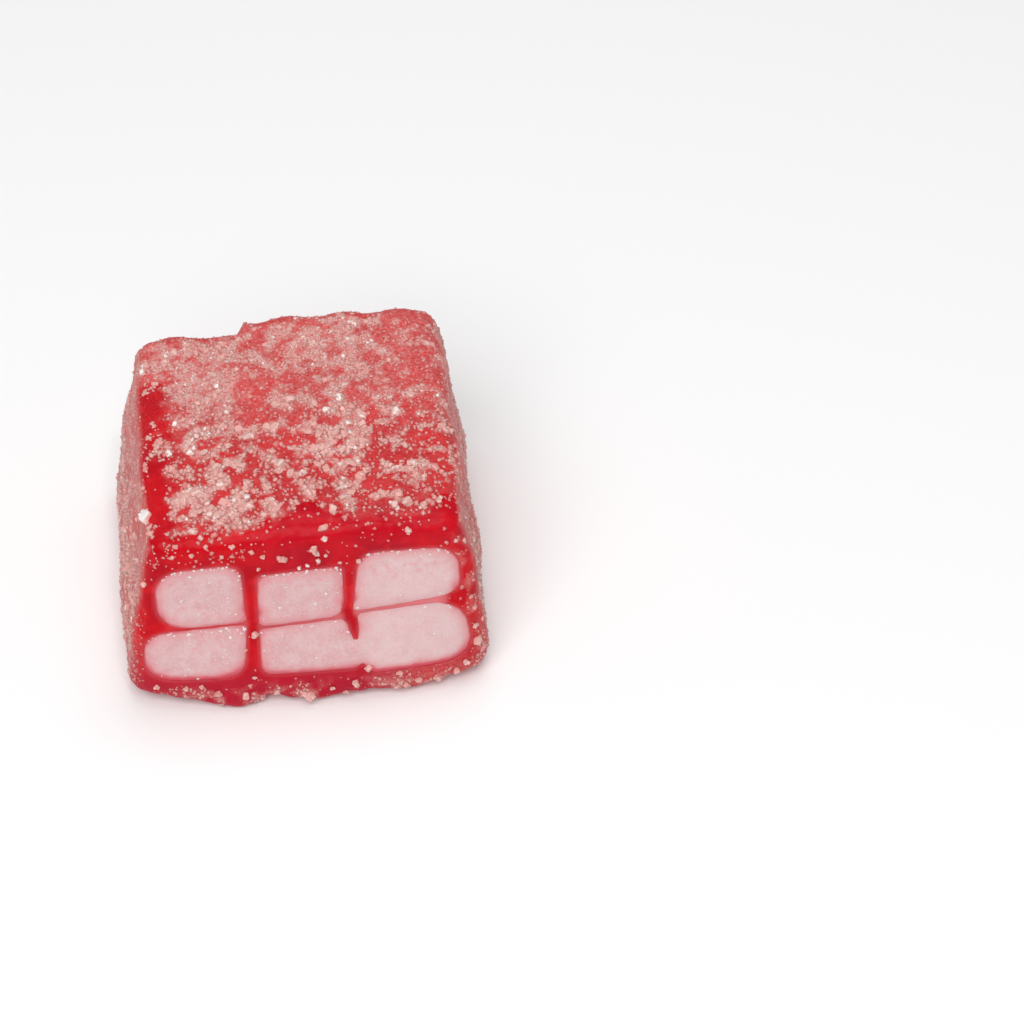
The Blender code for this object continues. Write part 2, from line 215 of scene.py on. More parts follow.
def unit(vectors):
    """Each row of an array, brought to a length of 1."""
    return vectors / np.linalg.norm(vectors, axis=1)[:, None]


def points_of(thing, what="co"):
    """The mesh's points as an array of (x, y, z), or their normals."""
    points = np.empty(len(thing.data.vertices) * 3)
    thing.data.vertices.foreach_get(what, points)
    return points.reshape(-1, 3)


def set_points(thing, points):
    thing.data.vertices.foreach_set("co", np.asarray(points, dtype=float).ravel())
    thing.data.update()


def write_attribute(thing, name, values):
    """Keeps one number for each point of the mesh, for the materials to read."""
    attribute = thing.data.attributes.new(name, "FLOAT", "POINT")
    attribute.data.foreach_set("value", np.clip(values, 0.0, 1.0).astype(np.float32))


def edit_mode(select="SELECT"):
    """Enters edit mode with all of the active mesh selected, or none of it."""
    bpy.ops.object.mode_set(mode="EDIT")
    bpy.ops.mesh.select_all(action=select)


def object_mode():
    bpy.ops.object.mode_set(mode="OBJECT")


def extrude_to_the_end(length):
    """Extrudes the active flat face along y into a closed block, its normals outwards."""
    edit_mode()
    bpy.ops.mesh.extrude_region_move(TRANSFORM_OT_translate={"value": (0.0, length, 0.0)})
    bpy.ops.mesh.select_all(action="SELECT")
    bpy.ops.mesh.normals_make_consistent(inside=False)
    object_mode()


def apply_modifier(thing, kind, name, **settings):
    """Adds one modifier, sets it up and applies it."""
    make_active(thing)
    modifier = thing.modifiers.new(name, kind)
    for key, value in settings.items():
        setattr(modifier, key, value)
    bpy.ops.object.modifier_apply(modifier=name)


def noise_field(points, scale, seed, octaves=1):
    """Smooth noise at each point, about -1 to 1, in lumps of about the scale."""
    offset = Vector((seed * 7.3, seed * 3.1, seed * 5.7))
    values = [noise.fractal(Vector(p) / scale + offset, 1.0, 2.0, octaves) for p in points]
    return np.array(values)


def on_section(x, z):
    """Points on the block's section, for noise that runs the same all along the block."""
    return np.stack([x, x * 0.0, z], axis=1)


def finish_piece(thing, material, node=None):
    """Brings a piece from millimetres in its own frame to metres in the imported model's."""
    set_points(thing, (points_of(thing) + SHIFT) * MM)
    thing.data.materials.clear()
    thing.data.materials.append(material)
    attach(thing, "root")
    if node:
        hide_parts(node)
    print(thing.name, len(thing.data.polygons), "faces")


# %% [markdown]
# ## Materials
#
# Each finish is one Principled shader, fed by a few nodes. The helper names the steps,
# so a recipe reads in the order in which its colour is built up.

# %% A helper for materials
class Recipe:
    """A Principled material with short calls for the nodes that feed it."""

    def __init__(self, name, **sockets):
        self.material = bpy.data.materials.new(name)
        self.material.use_nodes = True
        self.nodes = self.material.node_tree.nodes
        self.links = self.material.node_tree.links
        self.shader = self.nodes["Principled BSDF"]
        for socket, value in sockets.items():
            self.shader.inputs[socket.replace("_", " ")].default_value = value
        self.place = self.nodes.new("ShaderNodeTexCoord").outputs["Object"]

    def attribute(self, name):
        node = self.nodes.new("ShaderNodeAttribute")
        node.attribute_name = name
        return node.outputs["Fac"]

    def noise(self, size, detail=2.0, roughness=0.5):
        """Noise with lumps of about the size, in metres."""
        node = self.nodes.new("ShaderNodeTexNoise")
        node.inputs["Scale"].default_value = 1.0 / size
        node.inputs["Detail"].default_value = detail
        node.inputs["Roughness"].default_value = roughness
        self.links.new(self.place, node.inputs["Vector"])
        return node.outputs["Fac"]

    def cells(self, size):
        """Cells like packed crystals: a height for each place, and a number for each cell."""
        node = self.nodes.new("ShaderNodeTexVoronoi")
        node.inputs["Scale"].default_value = 1.0 / size
        self.links.new(self.place, node.inputs["Vector"])
        split = self.nodes.new("ShaderNodeSeparateColor")
        self.links.new(node.outputs["Color"], split.inputs["Color"])
        return self.math("SUBTRACT", 1.0, node.outputs["Distance"]), split.outputs["Red"]

    def span(self, value, low, high, to_low=0.0, to_high=1.0):
        """Stretches the range from low to high, clamped. Noise lies mostly in 0.3 to 0.7."""
        node = self.nodes.new("ShaderNodeMapRange")
        ends = {"From Min": low, "From Max": high, "To Min": to_low, "To Max": to_high}
        for socket, number in ends.items():
            node.inputs[socket].default_value = number
        self.links.new(value, node.inputs["Value"])
        return node.outputs["Result"]

    def math(self, operation, first, second):
        node = self.nodes.new("ShaderNodeMath")
        node.operation = operation
        for socket, value in zip(node.inputs, (first, second)):
            if isinstance(value, (int, float)):
                socket.default_value = value
            else:
                self.links.new(value, socket)
        return node.outputs["Value"]

    def mix(self, share, first, second):
        """Mixes two colours, each a tuple or a link."""
        node = self.nodes.new("ShaderNodeMix")
        node.data_type = "RGBA"
        sockets = [s for s in node.inputs if s.type == "RGBA"]
        for socket, value in zip(sockets, (first, second)):
            if isinstance(value, tuple):
                socket.default_value = (*value, 1.0)
            else:
                self.links.new(value, socket)
        self.links.new(share, node.inputs["Factor"])
        return [s for s in node.outputs if s.type == "RGBA"][0]

    def feed(self, socket, link):
        self.links.new(link, self.shader.inputs[socket])

    def bump(self, height, distance, strength=1.0):
        node = self.nodes.new("ShaderNodeBump")
        node.inputs["Strength"].default_value = strength
        node.inputs["Distance"].default_value = distance
        self.links.new(height, node.inputs["Height"])
        self.feed("Normal", node.outputs["Normal"])


# %% [markdown]
# The gel is clear, dyed and full of tiny bubbles, so light enters it and comes back
# red. Subsurface scattering gives that depth. A plain transparent red would look
# like glass, and would show the inside, which is opaque in the real sweet.
# Where sugar has dissolved into the skin the gel turns pale and dull. How much is a
# property of the place, so it is kept on the mesh as the attribute "frost". A second
# attribute darkens the gel to crimson: low on the cut, where the gel is thick and the
# crimson is painted shade as well, and a little on the band behind the top edge, as painted
# shade that tones down the light on that edge. A third, "cream", says where the gel is so
# thin that the filling shows through.

# %% The red gel
GEL_RED = (0.63, 0.004, 0.010)
GEL_DEEP = (0.46, 0.002, 0.010)
GEL_BRIGHT = (0.72, 0.012, 0.022)
# Crimson for the thick gel low on the cut, used there as painted shade too
CRIMSON_THICK_AND_SHADED = (0.42, 0.012, 0.035)
CREAM_THROUGH = (0.76, 0.22, 0.24)
FROST_PINK = (0.66, 0.16, 0.15)
FROST_WHITE = (0.76, 0.42, 0.385)

gel_look = Recipe(
    "red_gel",
    Subsurface_Weight=0.35,
    Subsurface_Scale=0.001,
    Subsurface_Radius=(1.0, 0.12, 0.10),
    Specular_IOR_Level=0.08,
)
# Clouds and bright glows in the dye
cloud = gel_look.span(gel_look.noise(2.6 * MM, 3.0), 0.35, 0.68)
gel_colour = gel_look.mix(cloud, GEL_DEEP, GEL_RED)
glow = gel_look.span(gel_look.noise(0.8 * MM, 3.0), 0.50, 0.72, 0.0, 0.6)
gel_colour = gel_look.mix(glow, gel_colour, GEL_BRIGHT)
# Dissolved sugar, broken into flecks, with a paleness of its own in each cell
fleck = gel_look.span(gel_look.noise(0.20 * MM, 2.0, 0.6), 0.35, 0.65, 0.45, 1.2)
frosted = gel_look.math("MULTIPLY", gel_look.attribute("frost"), fleck)
frost_edge, frost_grain = gel_look.cells(0.30 * MM)
frost_spread = gel_look.span(frost_grain, 0.0, 1.0, 0.35, 1.1)
whiteness = gel_look.math("MULTIPLY", gel_look.attribute("frost"), frost_spread)
frost_colour = gel_look.mix(whiteness, FROST_PINK, FROST_WHITE)
# Deeper crimson low on the cut, for thick gel and as painted shade, painted shade on the band behind the
# top edge, and cream that shines through thin gel
gel_colour = gel_look.mix(gel_look.attribute("deep_and_shade"), gel_colour, CRIMSON_THICK_AND_SHADED)
gel_colour = gel_look.mix(gel_look.attribute("cream"), gel_colour, CREAM_THROUGH)
gel_look.feed("Base Color", gel_look.mix(frosted, gel_colour, frost_colour))
gel_look.feed("Roughness", gel_look.span(frosted, 0.0, 0.6, 0.24, 0.6))
crystal_height = gel_look.math("MULTIPLY", frosted, frost_edge)
ripple = gel_look.math("MULTIPLY", gel_look.noise(0.45 * MM, 3.0, 0.6), 0.5)
gel_look.bump(gel_look.math("ADD", crystal_height, ripple), 0.10 * MM, 0.8)
gel_material = gel_look.material

# %% [markdown]
# The filling is a starchy cream: pale pink, matt and finely grained. Dye from the
# gel has crept into its edge, so it reddens over the last few tenths of a millimetre.
# The attribute "rim" holds how far that has gone, from 0 inside to 1 at the gel, and
# "starch" makes the strands on the right a little whiter and drier.

# %% The pale filling
FILLING_PALE = (0.70, 0.465, 0.47)
FILLING_COOL = (0.665, 0.39, 0.40)
FILLING_STARCH = (0.79, 0.61, 0.61)
FILLING_BLUSH = (0.71, 0.27, 0.29)
FILLING_DYED = (0.64, 0.07, 0.10)

cream_look = Recipe(
    "pink_filling",
    Subsurface_Weight=0.25,
    Subsurface_Scale=0.0008,
    Subsurface_Radius=(1.0, 0.45, 0.45),
    Specular_IOR_Level=0.25,
    Roughness=0.62,
)
mottle = cream_look.span(cream_look.noise(1.1 * MM, 4.0, 0.6), 0.40, 0.60)
pale = cream_look.mix(mottle, FILLING_COOL, FILLING_PALE)
pores = cream_look.span(cream_look.noise(0.45 * MM, 4.0, 0.65), 0.50, 0.70, 0.0, 0.55)
pale = cream_look.mix(pores, pale, FILLING_BLUSH)
grain = cream_look.span(cream_look.noise(0.16 * MM, 2.0, 0.7), 0.45, 0.75, 0.0, 0.55)
pale = cream_look.mix(grain, pale, FILLING_STARCH)
starchy = cream_look.math("MULTIPLY", cream_look.attribute("starch"), 0.40)
pale = cream_look.mix(starchy, pale, FILLING_STARCH)
rim = cream_look.attribute("rim")
blushed = cream_look.mix(cream_look.span(rim, 0.0, 0.5, 0.0, 0.80), pale, FILLING_BLUSH)
dyed = cream_look.mix(cream_look.span(rim, 0.5, 1.0), blushed, FILLING_DYED)
cream_look.feed("Base Color", dyed)
cream_look.bump(cream_look.noise(0.14 * MM, 3.0, 0.7), 0.02 * MM, 0.6)
filling_material = cream_look.material

# %% [markdown]
# Sugar crystals are clear, but they lie on red gel, are rounded by its damp and are
# seen through many faces, so they look pale pink with white glints. The attribute
# "tint" gives every crystal its own place between those two. It falls off towards the
# foot of a crystal, where the red of the gel shines up into it.

# %% The sugar
SUGAR_PINK = (0.68, 0.20, 0.19)
SUGAR_WHITE = (0.75, 0.43, 0.385)
SUGAR_GLINT = (0.92, 0.84, 0.80)

sugar_look = Recipe(
    "sugar",
    Roughness=0.2,
    Subsurface_Weight=0.25,
    Subsurface_Scale=0.0002,
    Subsurface_Radius=(1.0, 0.8, 0.8),
)
tint = sugar_look.attribute("tint")
sugar_colour = sugar_look.mix(sugar_look.span(tint, 0.0, 0.8), SUGAR_PINK, SUGAR_WHITE)
sugar_colour = sugar_look.mix(sugar_look.span(tint, 0.8, 1.0), sugar_colour, SUGAR_GLINT)
sugar_look.feed("Base Color", sugar_colour)
sugar_material = sugar_look.material


# %% [markdown]
# ## The gel block
#
# It could be lofted through its sections, as the solid was. Here it is modelled as
# clay would be: a cube, narrowed at the top, its edges bevelled, remeshed into a fine
# even grid, and pushed into its form point by point. The damp, lumpy skin needs points
# everywhere and not only at the edges.

# %% Rough out the block
GEL_VOXEL = 0.17

deselect_all()
foot_width = FOOT_RIGHT - FOOT_LEFT
top_width = TOP_RIGHT - TOP_LEFT
bpy.ops.mesh.primitive_cube_add(
    size=1.0,
    location=((FOOT_LEFT + FOOT_RIGHT) / 2, (FRONT_CUT_Y + FAR_END_Y) / 2, BLOCK_HEIGHT / 2),
    scale=(foot_width, FAR_END_Y - FRONT_CUT_Y, BLOCK_HEIGHT),
)
gel = bpy.context.object
gel.name = "gel"
make_active(gel)
bpy.ops.object.transform_apply(location=True, rotation=True, scale=True)
edit_mode("DESELECT")
object_mode()
for vertex in gel.data.vertices:
    vertex.select = vertex.co.z > BLOCK_HEIGHT / 2
bpy.ops.object.mode_set(mode="EDIT")
top_shift = (TOP_LEFT + TOP_RIGHT) / 2 - (FOOT_LEFT + FOOT_RIGHT) / 2
bpy.ops.transform.resize(value=(top_width / foot_width, 1.0, 1.0))
bpy.ops.transform.translate(value=(top_shift, 0.0, 0.0))
bpy.ops.mesh.select_all(action="SELECT")
bpy.ops.mesh.bevel(offset=EDGE_ROUNDING, segments=5, profile=0.5)
object_mode()
apply_modifier(gel, "REMESH", "even_grid", mode="VOXEL", voxel_size=GEL_VOXEL)
print("gel grid:", len(gel.data.polygons), "faces", points_of(gel).min(0), points_of(gel).max(0))

# %% [markdown]
# The sides swell at mid height and draw in beside the cut, the top is a shallow dome,
# and both ends move onto their own faces. The lumps go outwards from the middle of the
# section, and only near the skin, because a strand inside keeps its form.

# %% Push it into its form
NARROWING_SHARE = (0.0, 0.4)
DOME_FROM_UP = (0.5, 1.0)
UPWARD_LEAN = 1.4
NARROWER_UP = 1.2
SKIN_REACH = (0.78, 0.98)

x, y, z = points_of(gel).T
share = np.clip((y - FRONT_CUT_Y) / (FAR_END_Y - FRONT_CUT_Y), 0.0, 1.0)
up = np.clip(z / BLOCK_HEIGHT, 0.0, 1.0)
x = CENTRE_X + (x - CENTRE_X) * (1.0 + SIDE_SWELL / HALF_WIDTH * 4 * up * (1 - up))
x = CENTRE_X + (x - CENTRE_X) * (1.0 - FRONT_NARROWING * (1.0 - fade(share, *NARROWING_SHARE)))
across = np.clip((x - TOP_LEFT) / top_width, 0.0, 1.0)
z = z + TOP_SWELL * 4 * across * (1 - across) * fade(up, *DOME_FROM_UP)
y = front_y(x, z) + (far_y(x, z) - front_y(x, z)) * share
lean = np.stack([x - CENTRE_X, np.zeros_like(x), (z - CENTRE_Z) * UPWARD_LEAN], axis=1)
lean /= np.linalg.norm(lean, axis=1)[:, None]
half_here = HALF_WIDTH - NARROWER_UP * (up - 0.5)
reach = np.maximum(np.abs(x - CENTRE_X) / half_here, np.abs(z - CENTRE_Z) / CENTRE_Z)
swell = lumps(x, y, z) * fade(reach, *SKIN_REACH)
formed = np.stack([x, y, z], axis=1) + lean * swell[:, None]
formed[:, 2] += corner_lift(*formed.T)
formed[:, 2] = np.maximum(formed[:, 2], 0.0)
set_points(gel, formed)


# %% [markdown]
# The channels are cut with prisms of the strands' sections, made from circles whose
# points are put on the outline and extruded. A Boolean cut keeps the outline exact,
# which no remesh of the finished shape would.

# %% Cut the channels
CUTTER_START, CUTTER_END = FRONT_CUT_Y - 6.0, FAR_END_Y + 6.0


def cut_with(thing, outline, operation):
    """Cuts a long prism of an outline out of a mesh, or keeps only what lies in it."""
    deselect_all()
    bpy.ops.mesh.primitive_circle_add(vertices=len(outline), radius=1.0, fill_type="NGON")
    prism = bpy.context.object
    set_points(prism, [(px, CUTTER_START, pz) for px, pz in outline])
    extrude_to_the_end(CUTTER_END - CUTTER_START)
    apply_modifier(thing, "BOOLEAN", "cut", operation=operation, object=prism, solver="EXACT")
    bpy.data.objects.remove(prism, do_unlink=True)


for outline in OUTLINES.values():
    cut_with(gel, outline, "DIFFERENCE")
print("gel with channels:", len(gel.data.polygons), "faces")


# %% [markdown]
# ## Where the sugar lies
#
# The same rule places every crystal and pales the gel between them, or the two would
# not belong together. It gives each place on the skin a share from 0 to 1. Broad zones
# come first: nearly all of the top, but not the band beside the cut or the ridge
# on the left; thick low on the sides; thin on the torn end; stray on the cut. Noise in
# lumps of about a millimetre then breaks each zone into clumps with bare gaps.

# %% Distances on the section
def outline_distance(outline, x, z):
    """Distance from each (x, z) to a closed outline, and whether it lies inside."""
    place = np.stack([x, z], axis=1)
    nearest = np.full(len(place), 1e9)
    inside = np.zeros(len(place), dtype=bool)
    for start, end in zip(outline, np.roll(outline, -1, axis=0)):
        side = end - start
        if not side.any():
            continue
        t = np.clip((place - start) @ side / (side @ side), 0.0, 1.0)
        nearest = np.minimum(nearest, np.linalg.norm(place - start - t[:, None] * side, axis=1))
        spans = (start[1] > place[:, 1]) != (end[1] > place[:, 1])
        rise = side[1] if side[1] else 1e-9
        crossing = start[0] + (place[:, 1] - start[1]) * side[0] / rise
        inside ^= spans & (place[:, 0] < crossing)
    return nearest, inside


def filling_depth(x, z):
    """How deep each (x, z) lies inside a strand's section: negative outside all of them."""
    depth = np.full(len(x), -1e9)
    for outline in OUTLINES.values():
        distance, inside = outline_distance(outline, x, z)
        depth = np.maximum(depth, np.where(inside, distance, -distance))
    return depth


# %% [markdown]
# On the top the crust starts on a ragged line behind the cut, which draws back in the
# middle and in the right corner. Noise alone would put the clumps and gaps anywhere, so
# listed spots add to it or take from it.

# %% The crust's front edge and its spots
CRUST_FRONT_Y = -8.7
# How far it draws back: in the middle, round a place and this wide, and on the right
MIDDLE_BACK, MIDDLE_X, MIDDLE_WIDTH = 1.3, 0.6, 2.2
RIGHT_BACK, RIGHT_CORNER_X = 2.2, (7.6, 9.4)


def crust_front(x):
    """Where the crust on the top begins, behind the cut."""
    middle = MIDDLE_BACK * np.exp(-(((x - MIDDLE_X) / MIDDLE_WIDTH) ** 2))
    right = RIGHT_BACK * fade(x, *RIGHT_CORNER_X)
    return CRUST_FRONT_Y + middle + right + 0.15 * np.sin(x * 1.7)


# Spots on the top as (x, y, radius, how much more sugar lies there than the noise gives)
TOP_SPOTS = [
    (-8.6, 2.8, 1.3, -1.0), (-8.5, 4.6, 0.9, -0.6), (-8.5, -4.4, 1.1, -1.0), (-8.4, -6.4, 0.9, -0.8),
    (-2.3, 1.6, 1.0, -0.7), (0.2, -0.6, 0.9, -0.6), (0.2, 4.6, 0.8, -0.5), (-1.0, 10.4, 1.4, -0.8),
    (7.2, 10.0, 1.1, -0.6), (3.6, 7.0, 0.6, -0.6), (8.8, 5.6, 1.2, -0.7), (6.2, 2.6, 1.1, -0.4),
    (6.2, -1.3, 1.0, -0.7), (-6.2, -3.0, 0.7, -0.7), (-6.6, -1.7, 0.8, -0.4), (1.9, -6.7, 1.0, -0.8),
    (9.4, 9.6, 0.8, -0.5), (-8.7, 8.2, 0.8, -0.7), (4.6, -4.6, 0.8, -0.4), (-1.6, -6.4, 0.7, -0.5),
    (-5.4, 5.0, 2.6, 0.4), (-6.0, 1.6, 1.4, 0.3), (0.1, 2.2, 0.9, 0.6), (2.8, -0.9, 1.0, 0.6),
    (3.1, -3.1, 0.8, 0.6), (-1.0, -3.4, 0.8, 0.6), (3.6, 5.6, 0.9, 0.4), (5.6, 7.0, 0.9, 0.4),
    (-4.2, -6.4, 1.5, 0.7), (-6.8, -5.2, 0.9, 0.6), (-3.2, -8.4, 0.9, 0.7), (3.3, -7.0, 0.7, 0.6),
    (6.6, -7.3, 0.9, 0.8), (7.4, -5.0, 1.0, 0.5), (-7.0, -1.0, 0.7, 0.4), (-6.6, -8.2, 0.8, 0.4),
    (0.5, -6.0, 1.6, -0.3), (-5.4, 1.6, 1.8, 0.25),
]


def spot_bias(x, y):
    """The sum of the soft spots at each place on the top."""
    bias = np.zeros_like(x)
    for spot_x, spot_y, radius, strength in TOP_SPOTS:
        away = ((x - spot_x) ** 2 + (y - spot_y) ** 2) / radius**2
        bias += strength * np.exp(-away)
    return bias


# %% [markdown]
# The rule for each face is made of fades, so that each edge can be tuned on its own. A
# pair of places is a fade from nothing at the first to full at the second. A pair of
# shares is the least and how much more there can be.

# %% The sugar rule
CLUMP_SIZE, FINE_CLUMP_SIZE, BROAD_SIZE = 1.15, 0.42, 4.5
REAR_Y = (-3.0, 4.0)
FRINGE_SHARE, FRINGE_DEPTH = 0.10, 1.8
THINNEST_CRUST = 0.22
VEIL_FRONT, VEIL_REAR = 0.24, 0.48
LEANER_RIGHT, LEANER_RIGHT_X = 0.27, (2.5, 5.5)
STRIP_X, RIDGE_X, STRIP_Y = (-7.6, -8.2), (-9.9, -9.4), (6.0, 5.0)
EDGE_CRYSTALS, EDGE_FILM = (0.25, 0.75), (0.3, 0.7)
BESIDE_CUT, SIDE_LOW_Z = (0.35, 0.65), (12.5, 7.0)
SIDE_CRYSTALS, SIDE_FILM = (0.30, 0.55), (0.62, 0.33)
FAR_CRYSTALS, FAR_FILM = 0.5, (0.35, 0.45)
HEM_Z, HEM_SHARE, BARE_HEM_X = (2.6, 0.5), 0.9, (-7.0, -9.0)
CORNER_X, CORNER_Z, CORNER_RIGHT, CORNER_LEFT = (9.3, 10.8), (7.0, 4.0), 0.5, 0.03
FOOT_FILM, FOOT_FILM_X, FOOT_FILM_Z = 0.42, (3.0, 6.0), (3.4, 1.2)
EDGE_RIGHT, EDGE_LEFT = 0.5, 0.14


def rising(pair, share):
    """The least value, and as much more as the share gives."""
    least, more = pair
    return least + more * share


def crust_on_top(x, y, z, clump, broad, fine_clump):
    """Thick, but bare beside the cut and on the left ridge. Gives the crystals and the film."""
    start = crust_front(x) + 0.9 * clump
    behind = fade(y, start - 0.2, start + 0.3)
    fringe = FRINGE_SHARE * fade(y, start - FRINGE_DEPTH, start - 0.1)
    edge_bare = fade(far_y(x, z) - y, 0.2, 1.3 + 0.5 * broad)
    rear = fade(y, *REAR_Y)
    richness = clump + (0.25 + 0.25 * rear) * broad + 0.30 * fine_clump + 0.55 * spot_bias(x, y)
    richness -= LEANER_RIGHT * fade(x, *LEANER_RIGHT_X) * (1.0 - rear)
    patchy = fade(richness, -0.16 - 0.30 * rear, 0.28 + 0.10 * rear)
    strip = fade(x + 0.7 * clump, *STRIP_X) * fade(x, *RIDGE_X) * fade(y, *STRIP_Y)
    thinnest = THINNEST_CRUST * (1.0 - strip)
    crystals = behind * rising(EDGE_CRYSTALS, edge_bare) * (thinnest + (1.0 - thinnest) * patchy)
    veil = VEIL_FRONT + (VEIL_REAR - VEIL_FRONT) * rear
    film = behind * rising(EDGE_FILM, edge_bare) * (1.0 - 0.85 * strip) * (veil + (1.0 - veil) * patchy)
    return np.maximum(crystals, fringe * (1.0 - strip)), film


def crust_on_sides(y, z, clump, broad):
    """Thick low down, thin beside the cut."""
    behind_cut = fade(y, FRONT_CUT_Y + 0.1, FRONT_CUT_Y + 1.3)
    zone = rising(BESIDE_CUT, behind_cut)
    crystals = zone * rising(SIDE_CRYSTALS, fade(z, *SIDE_LOW_Z)) * fade(clump, -0.45, 0.1)
    return crystals, zone * rising(SIDE_FILM, fade(clump + 0.4 * broad, -0.4, 0.2))


def crust_on_far_end(clump, broad):
    """Thin and patchy."""
    patches = clump + 0.3 * broad
    crystals = FAR_CRYSTALS * fade(patches, -0.25, 0.2)
    return crystals, rising(FAR_FILM, fade(patches, -0.3, 0.2))


def crust_on_cut(x, z, clump, fine_clump):
    """A hem along the foot, the lower corners and the side edges."""
    hem = fade(z, *HEM_Z) * fade(clump + 0.3 * fine_clump, -0.30, 0.20)
    hem *= 1.0 - 0.8 * fade(x, *BARE_HEM_X)
    corners = np.where(x > 0.0, CORNER_RIGHT, CORNER_LEFT) * fade(z, *CORNER_Z)
    corners = corners * fade(np.abs(x - FOOT_CENTRE_X), *CORNER_X)
    edge_x = 11.4 - 0.11 * z
    edges = EDGE_RIGHT * fade(x - edge_x, -1.1, -0.2)
    edges += EDGE_LEFT * fade(x + edge_x, 0.8, 0.2)
    crystals = np.maximum(np.maximum(HEM_SHARE * hem, corners), edges * fade(clump, -0.3, 0.2))
    foot_film = FOOT_FILM * fade(x, *FOOT_FILM_X) * fade(z, *FOOT_FILM_Z)
    return crystals, np.maximum(crystals, foot_film)


def sugar_share(points, normals):
    """How thickly crystals lie at each place, and how pale the film under them is."""
    x, y, z = points.T
    clump = noise_field(points, CLUMP_SIZE, 3, octaves=2)
    broad = noise_field(points, BROAD_SIZE, 5)
    fine_clump = noise_field(points, FINE_CLUMP_SIZE, 4)
    on_top = fade(normals[:, 2], 0.45, 0.75)
    on_front = fade(normals[:, 1], -0.45, -0.7)
    on_far = fade(normals[:, 1], 0.5, 0.8)
    on_side = (1 - on_top) * (1 - on_front) * (1 - on_far)
    lying = fade(normals[:, 2], -0.75, -0.3) * fade(z, 0.05, 0.3)
    faces = zip(
        crust_on_top(x, y, z, clump, broad, fine_clump),
        crust_on_cut(x, z, clump, fine_clump),
        crust_on_far_end(clump, broad),
        crust_on_sides(y, z, clump, broad),
    )
    shares = []
    for top, cut, far, side in faces:
        whole = on_top * top + (1 - on_top) * (on_front * cut + on_far * far) + on_side * side
        shares.append(np.clip(whole, 0.0, 1.0) * lying)
    return shares


# %% [markdown]
# The skin gets soft dents all over, packed grains where sugar lies, and a foot of the
# cut that bulges and draws in, where the block settled. Between the two rows the gel is
# so thin that the cream shines through it, most of all on the right.

# %% Relief and colour of the gel
CREAM_REACH = 0.15
CREAM_AT_RIM = 0.25
# Two fades over the gap between the rows, in millimetres
THIN_WALL = (0.6, 1.0)
FACING_WALL = (0.7, 1.2)
DENT_HEIGHT, DENT_SIZE = 0.04, 0.9
GRAIN_HEIGHT, GRAIN_SIZE = 0.12, 0.42
ON_END_NORMAL = (0.5, 0.8)
# The foot of the cut bulges and draws in as (x, width, how far it stands out)
FOOT_BUMPS = [
    (-5.0, 1.2, 0.30), (-2.4, 0.9, -0.38), (0.2, 1.0, 0.12), (3.6, 1.5, -0.10), (6.5, 1.4, 0.10),
]


def foot_bumps(x):
    return sum(amount * np.exp(-(((x - middle) / width) ** 2)) for middle, width, amount in FOOT_BUMPS)


def packed_grains(points, size):
    """Heights from 0 to 1, flat over each grain and with a seam round it."""
    heights = []
    for point in points:
        distances, centres = noise.voronoi(Vector(point) / size)
        seam = min(1.0, (distances[1] - distances[0]) / 0.25)
        heights.append(seam * (0.35 + 0.65 * noise.cell(centres[0] * 7.0)))
    return np.array(heights)


def row_distances(x, z):
    """Distance from each (x, z) to the upper row of strands, and to the lower row."""
    rows = {"upper": np.full(len(x), 1e9), "lower": np.full(len(x), 1e9)}
    for name, outline in OUTLINES.items():
        row = name.split("_")[1]
        distance, _ = outline_distance(outline, x, z)
        rows[row] = np.minimum(rows[row], distance)
    return rows["upper"], rows["lower"]


def in_thin_wall(x, z):
    """1 in and right beside the thin gel wall between the two rows of strands."""
    upper, lower = row_distances(x, z)
    return 1.0 - fade(upper + lower, *THIN_WALL)


def facing_thin_wall(x, z):
    """1 where the rim nearest to a place on a strand is the one at the thin wall."""
    upper, lower = row_distances(x, z)
    return 1.0 - fade(np.abs(upper - lower), *FACING_WALL)


def cream_near(x, z):
    """How much the cream shows through the gel: a little at its rims, more in the thin wall."""
    rim = CREAM_AT_RIM * np.exp(-((filling_depth(x, z) / CREAM_REACH) ** 2))
    paler_to_right = np.clip(0.50 + 0.045 * x, 0.0, 1.0)
    return np.maximum(in_thin_wall(x, z) * paler_to_right, rim)


points = points_of(gel)
normals = points_of(gel, "normal")
x, y, z = points.T
depth = filling_depth(x, z)
on_cut = fade(np.abs(normals[:, 1]), *ON_END_NORMAL)
in_channel = depth > -0.05
crust, film = (share * ~in_channel for share in sugar_share(points, normals))
relief = DENT_HEIGHT * noise_field(points, DENT_SIZE, 11, octaves=3)
grains = GRAIN_HEIGHT * packed_grains(points, GRAIN_SIZE)
relief += crust * (grains - 0.04 + 0.05 * noise_field(points, 0.8, 12))
ragged = fade(z, 2.2, 0.3) * fade(y, -8.5, -9.8)
relief += ragged * (foot_bumps(x) + 0.08 * noise_field(points, 0.9, 13, octaves=2))
free = ~in_channel & (z > 0.02)
still = on_cut * (1.0 - fade(-depth, 0.05, 0.4))
points = points + normals * (relief * free * (1.0 - still))[:, None]
points[:, 2] = np.maximum(points[:, 2], 0.0)
set_points(gel, points)

x, y, z = points.T
# Painted shade: crimson at the foot of the cut, partly for the thicker gel there, and a little on the
# band behind the top edge, to tone down the light there
thick_foot_shade = fade(z, 4.5, 1.5) * fade(y, -8.0, -9.5) * (1.0 - 0.6 * fade(x, 4.0, 8.0))
clear_band_shade = fade(y, -6.5, -8.0) * fade(z, 9.0, 11.5) * fade(x, -4.5, -1.5)
write_attribute(gel, "frost", film)
write_attribute(gel, "cream", cream_near(x, z) * on_cut)
write_attribute(gel, "deep_and_shade", np.maximum(0.8 * thick_foot_shade, 0.2 * clear_band_shade))
print("share of the skin under sugar:", round(float(crust[free].mean()), 2))
skin_points, skin_normals = points, normals

make_active(gel)
bpy.ops.object.shade_smooth_by_angle(angle=math.radians(50.0))


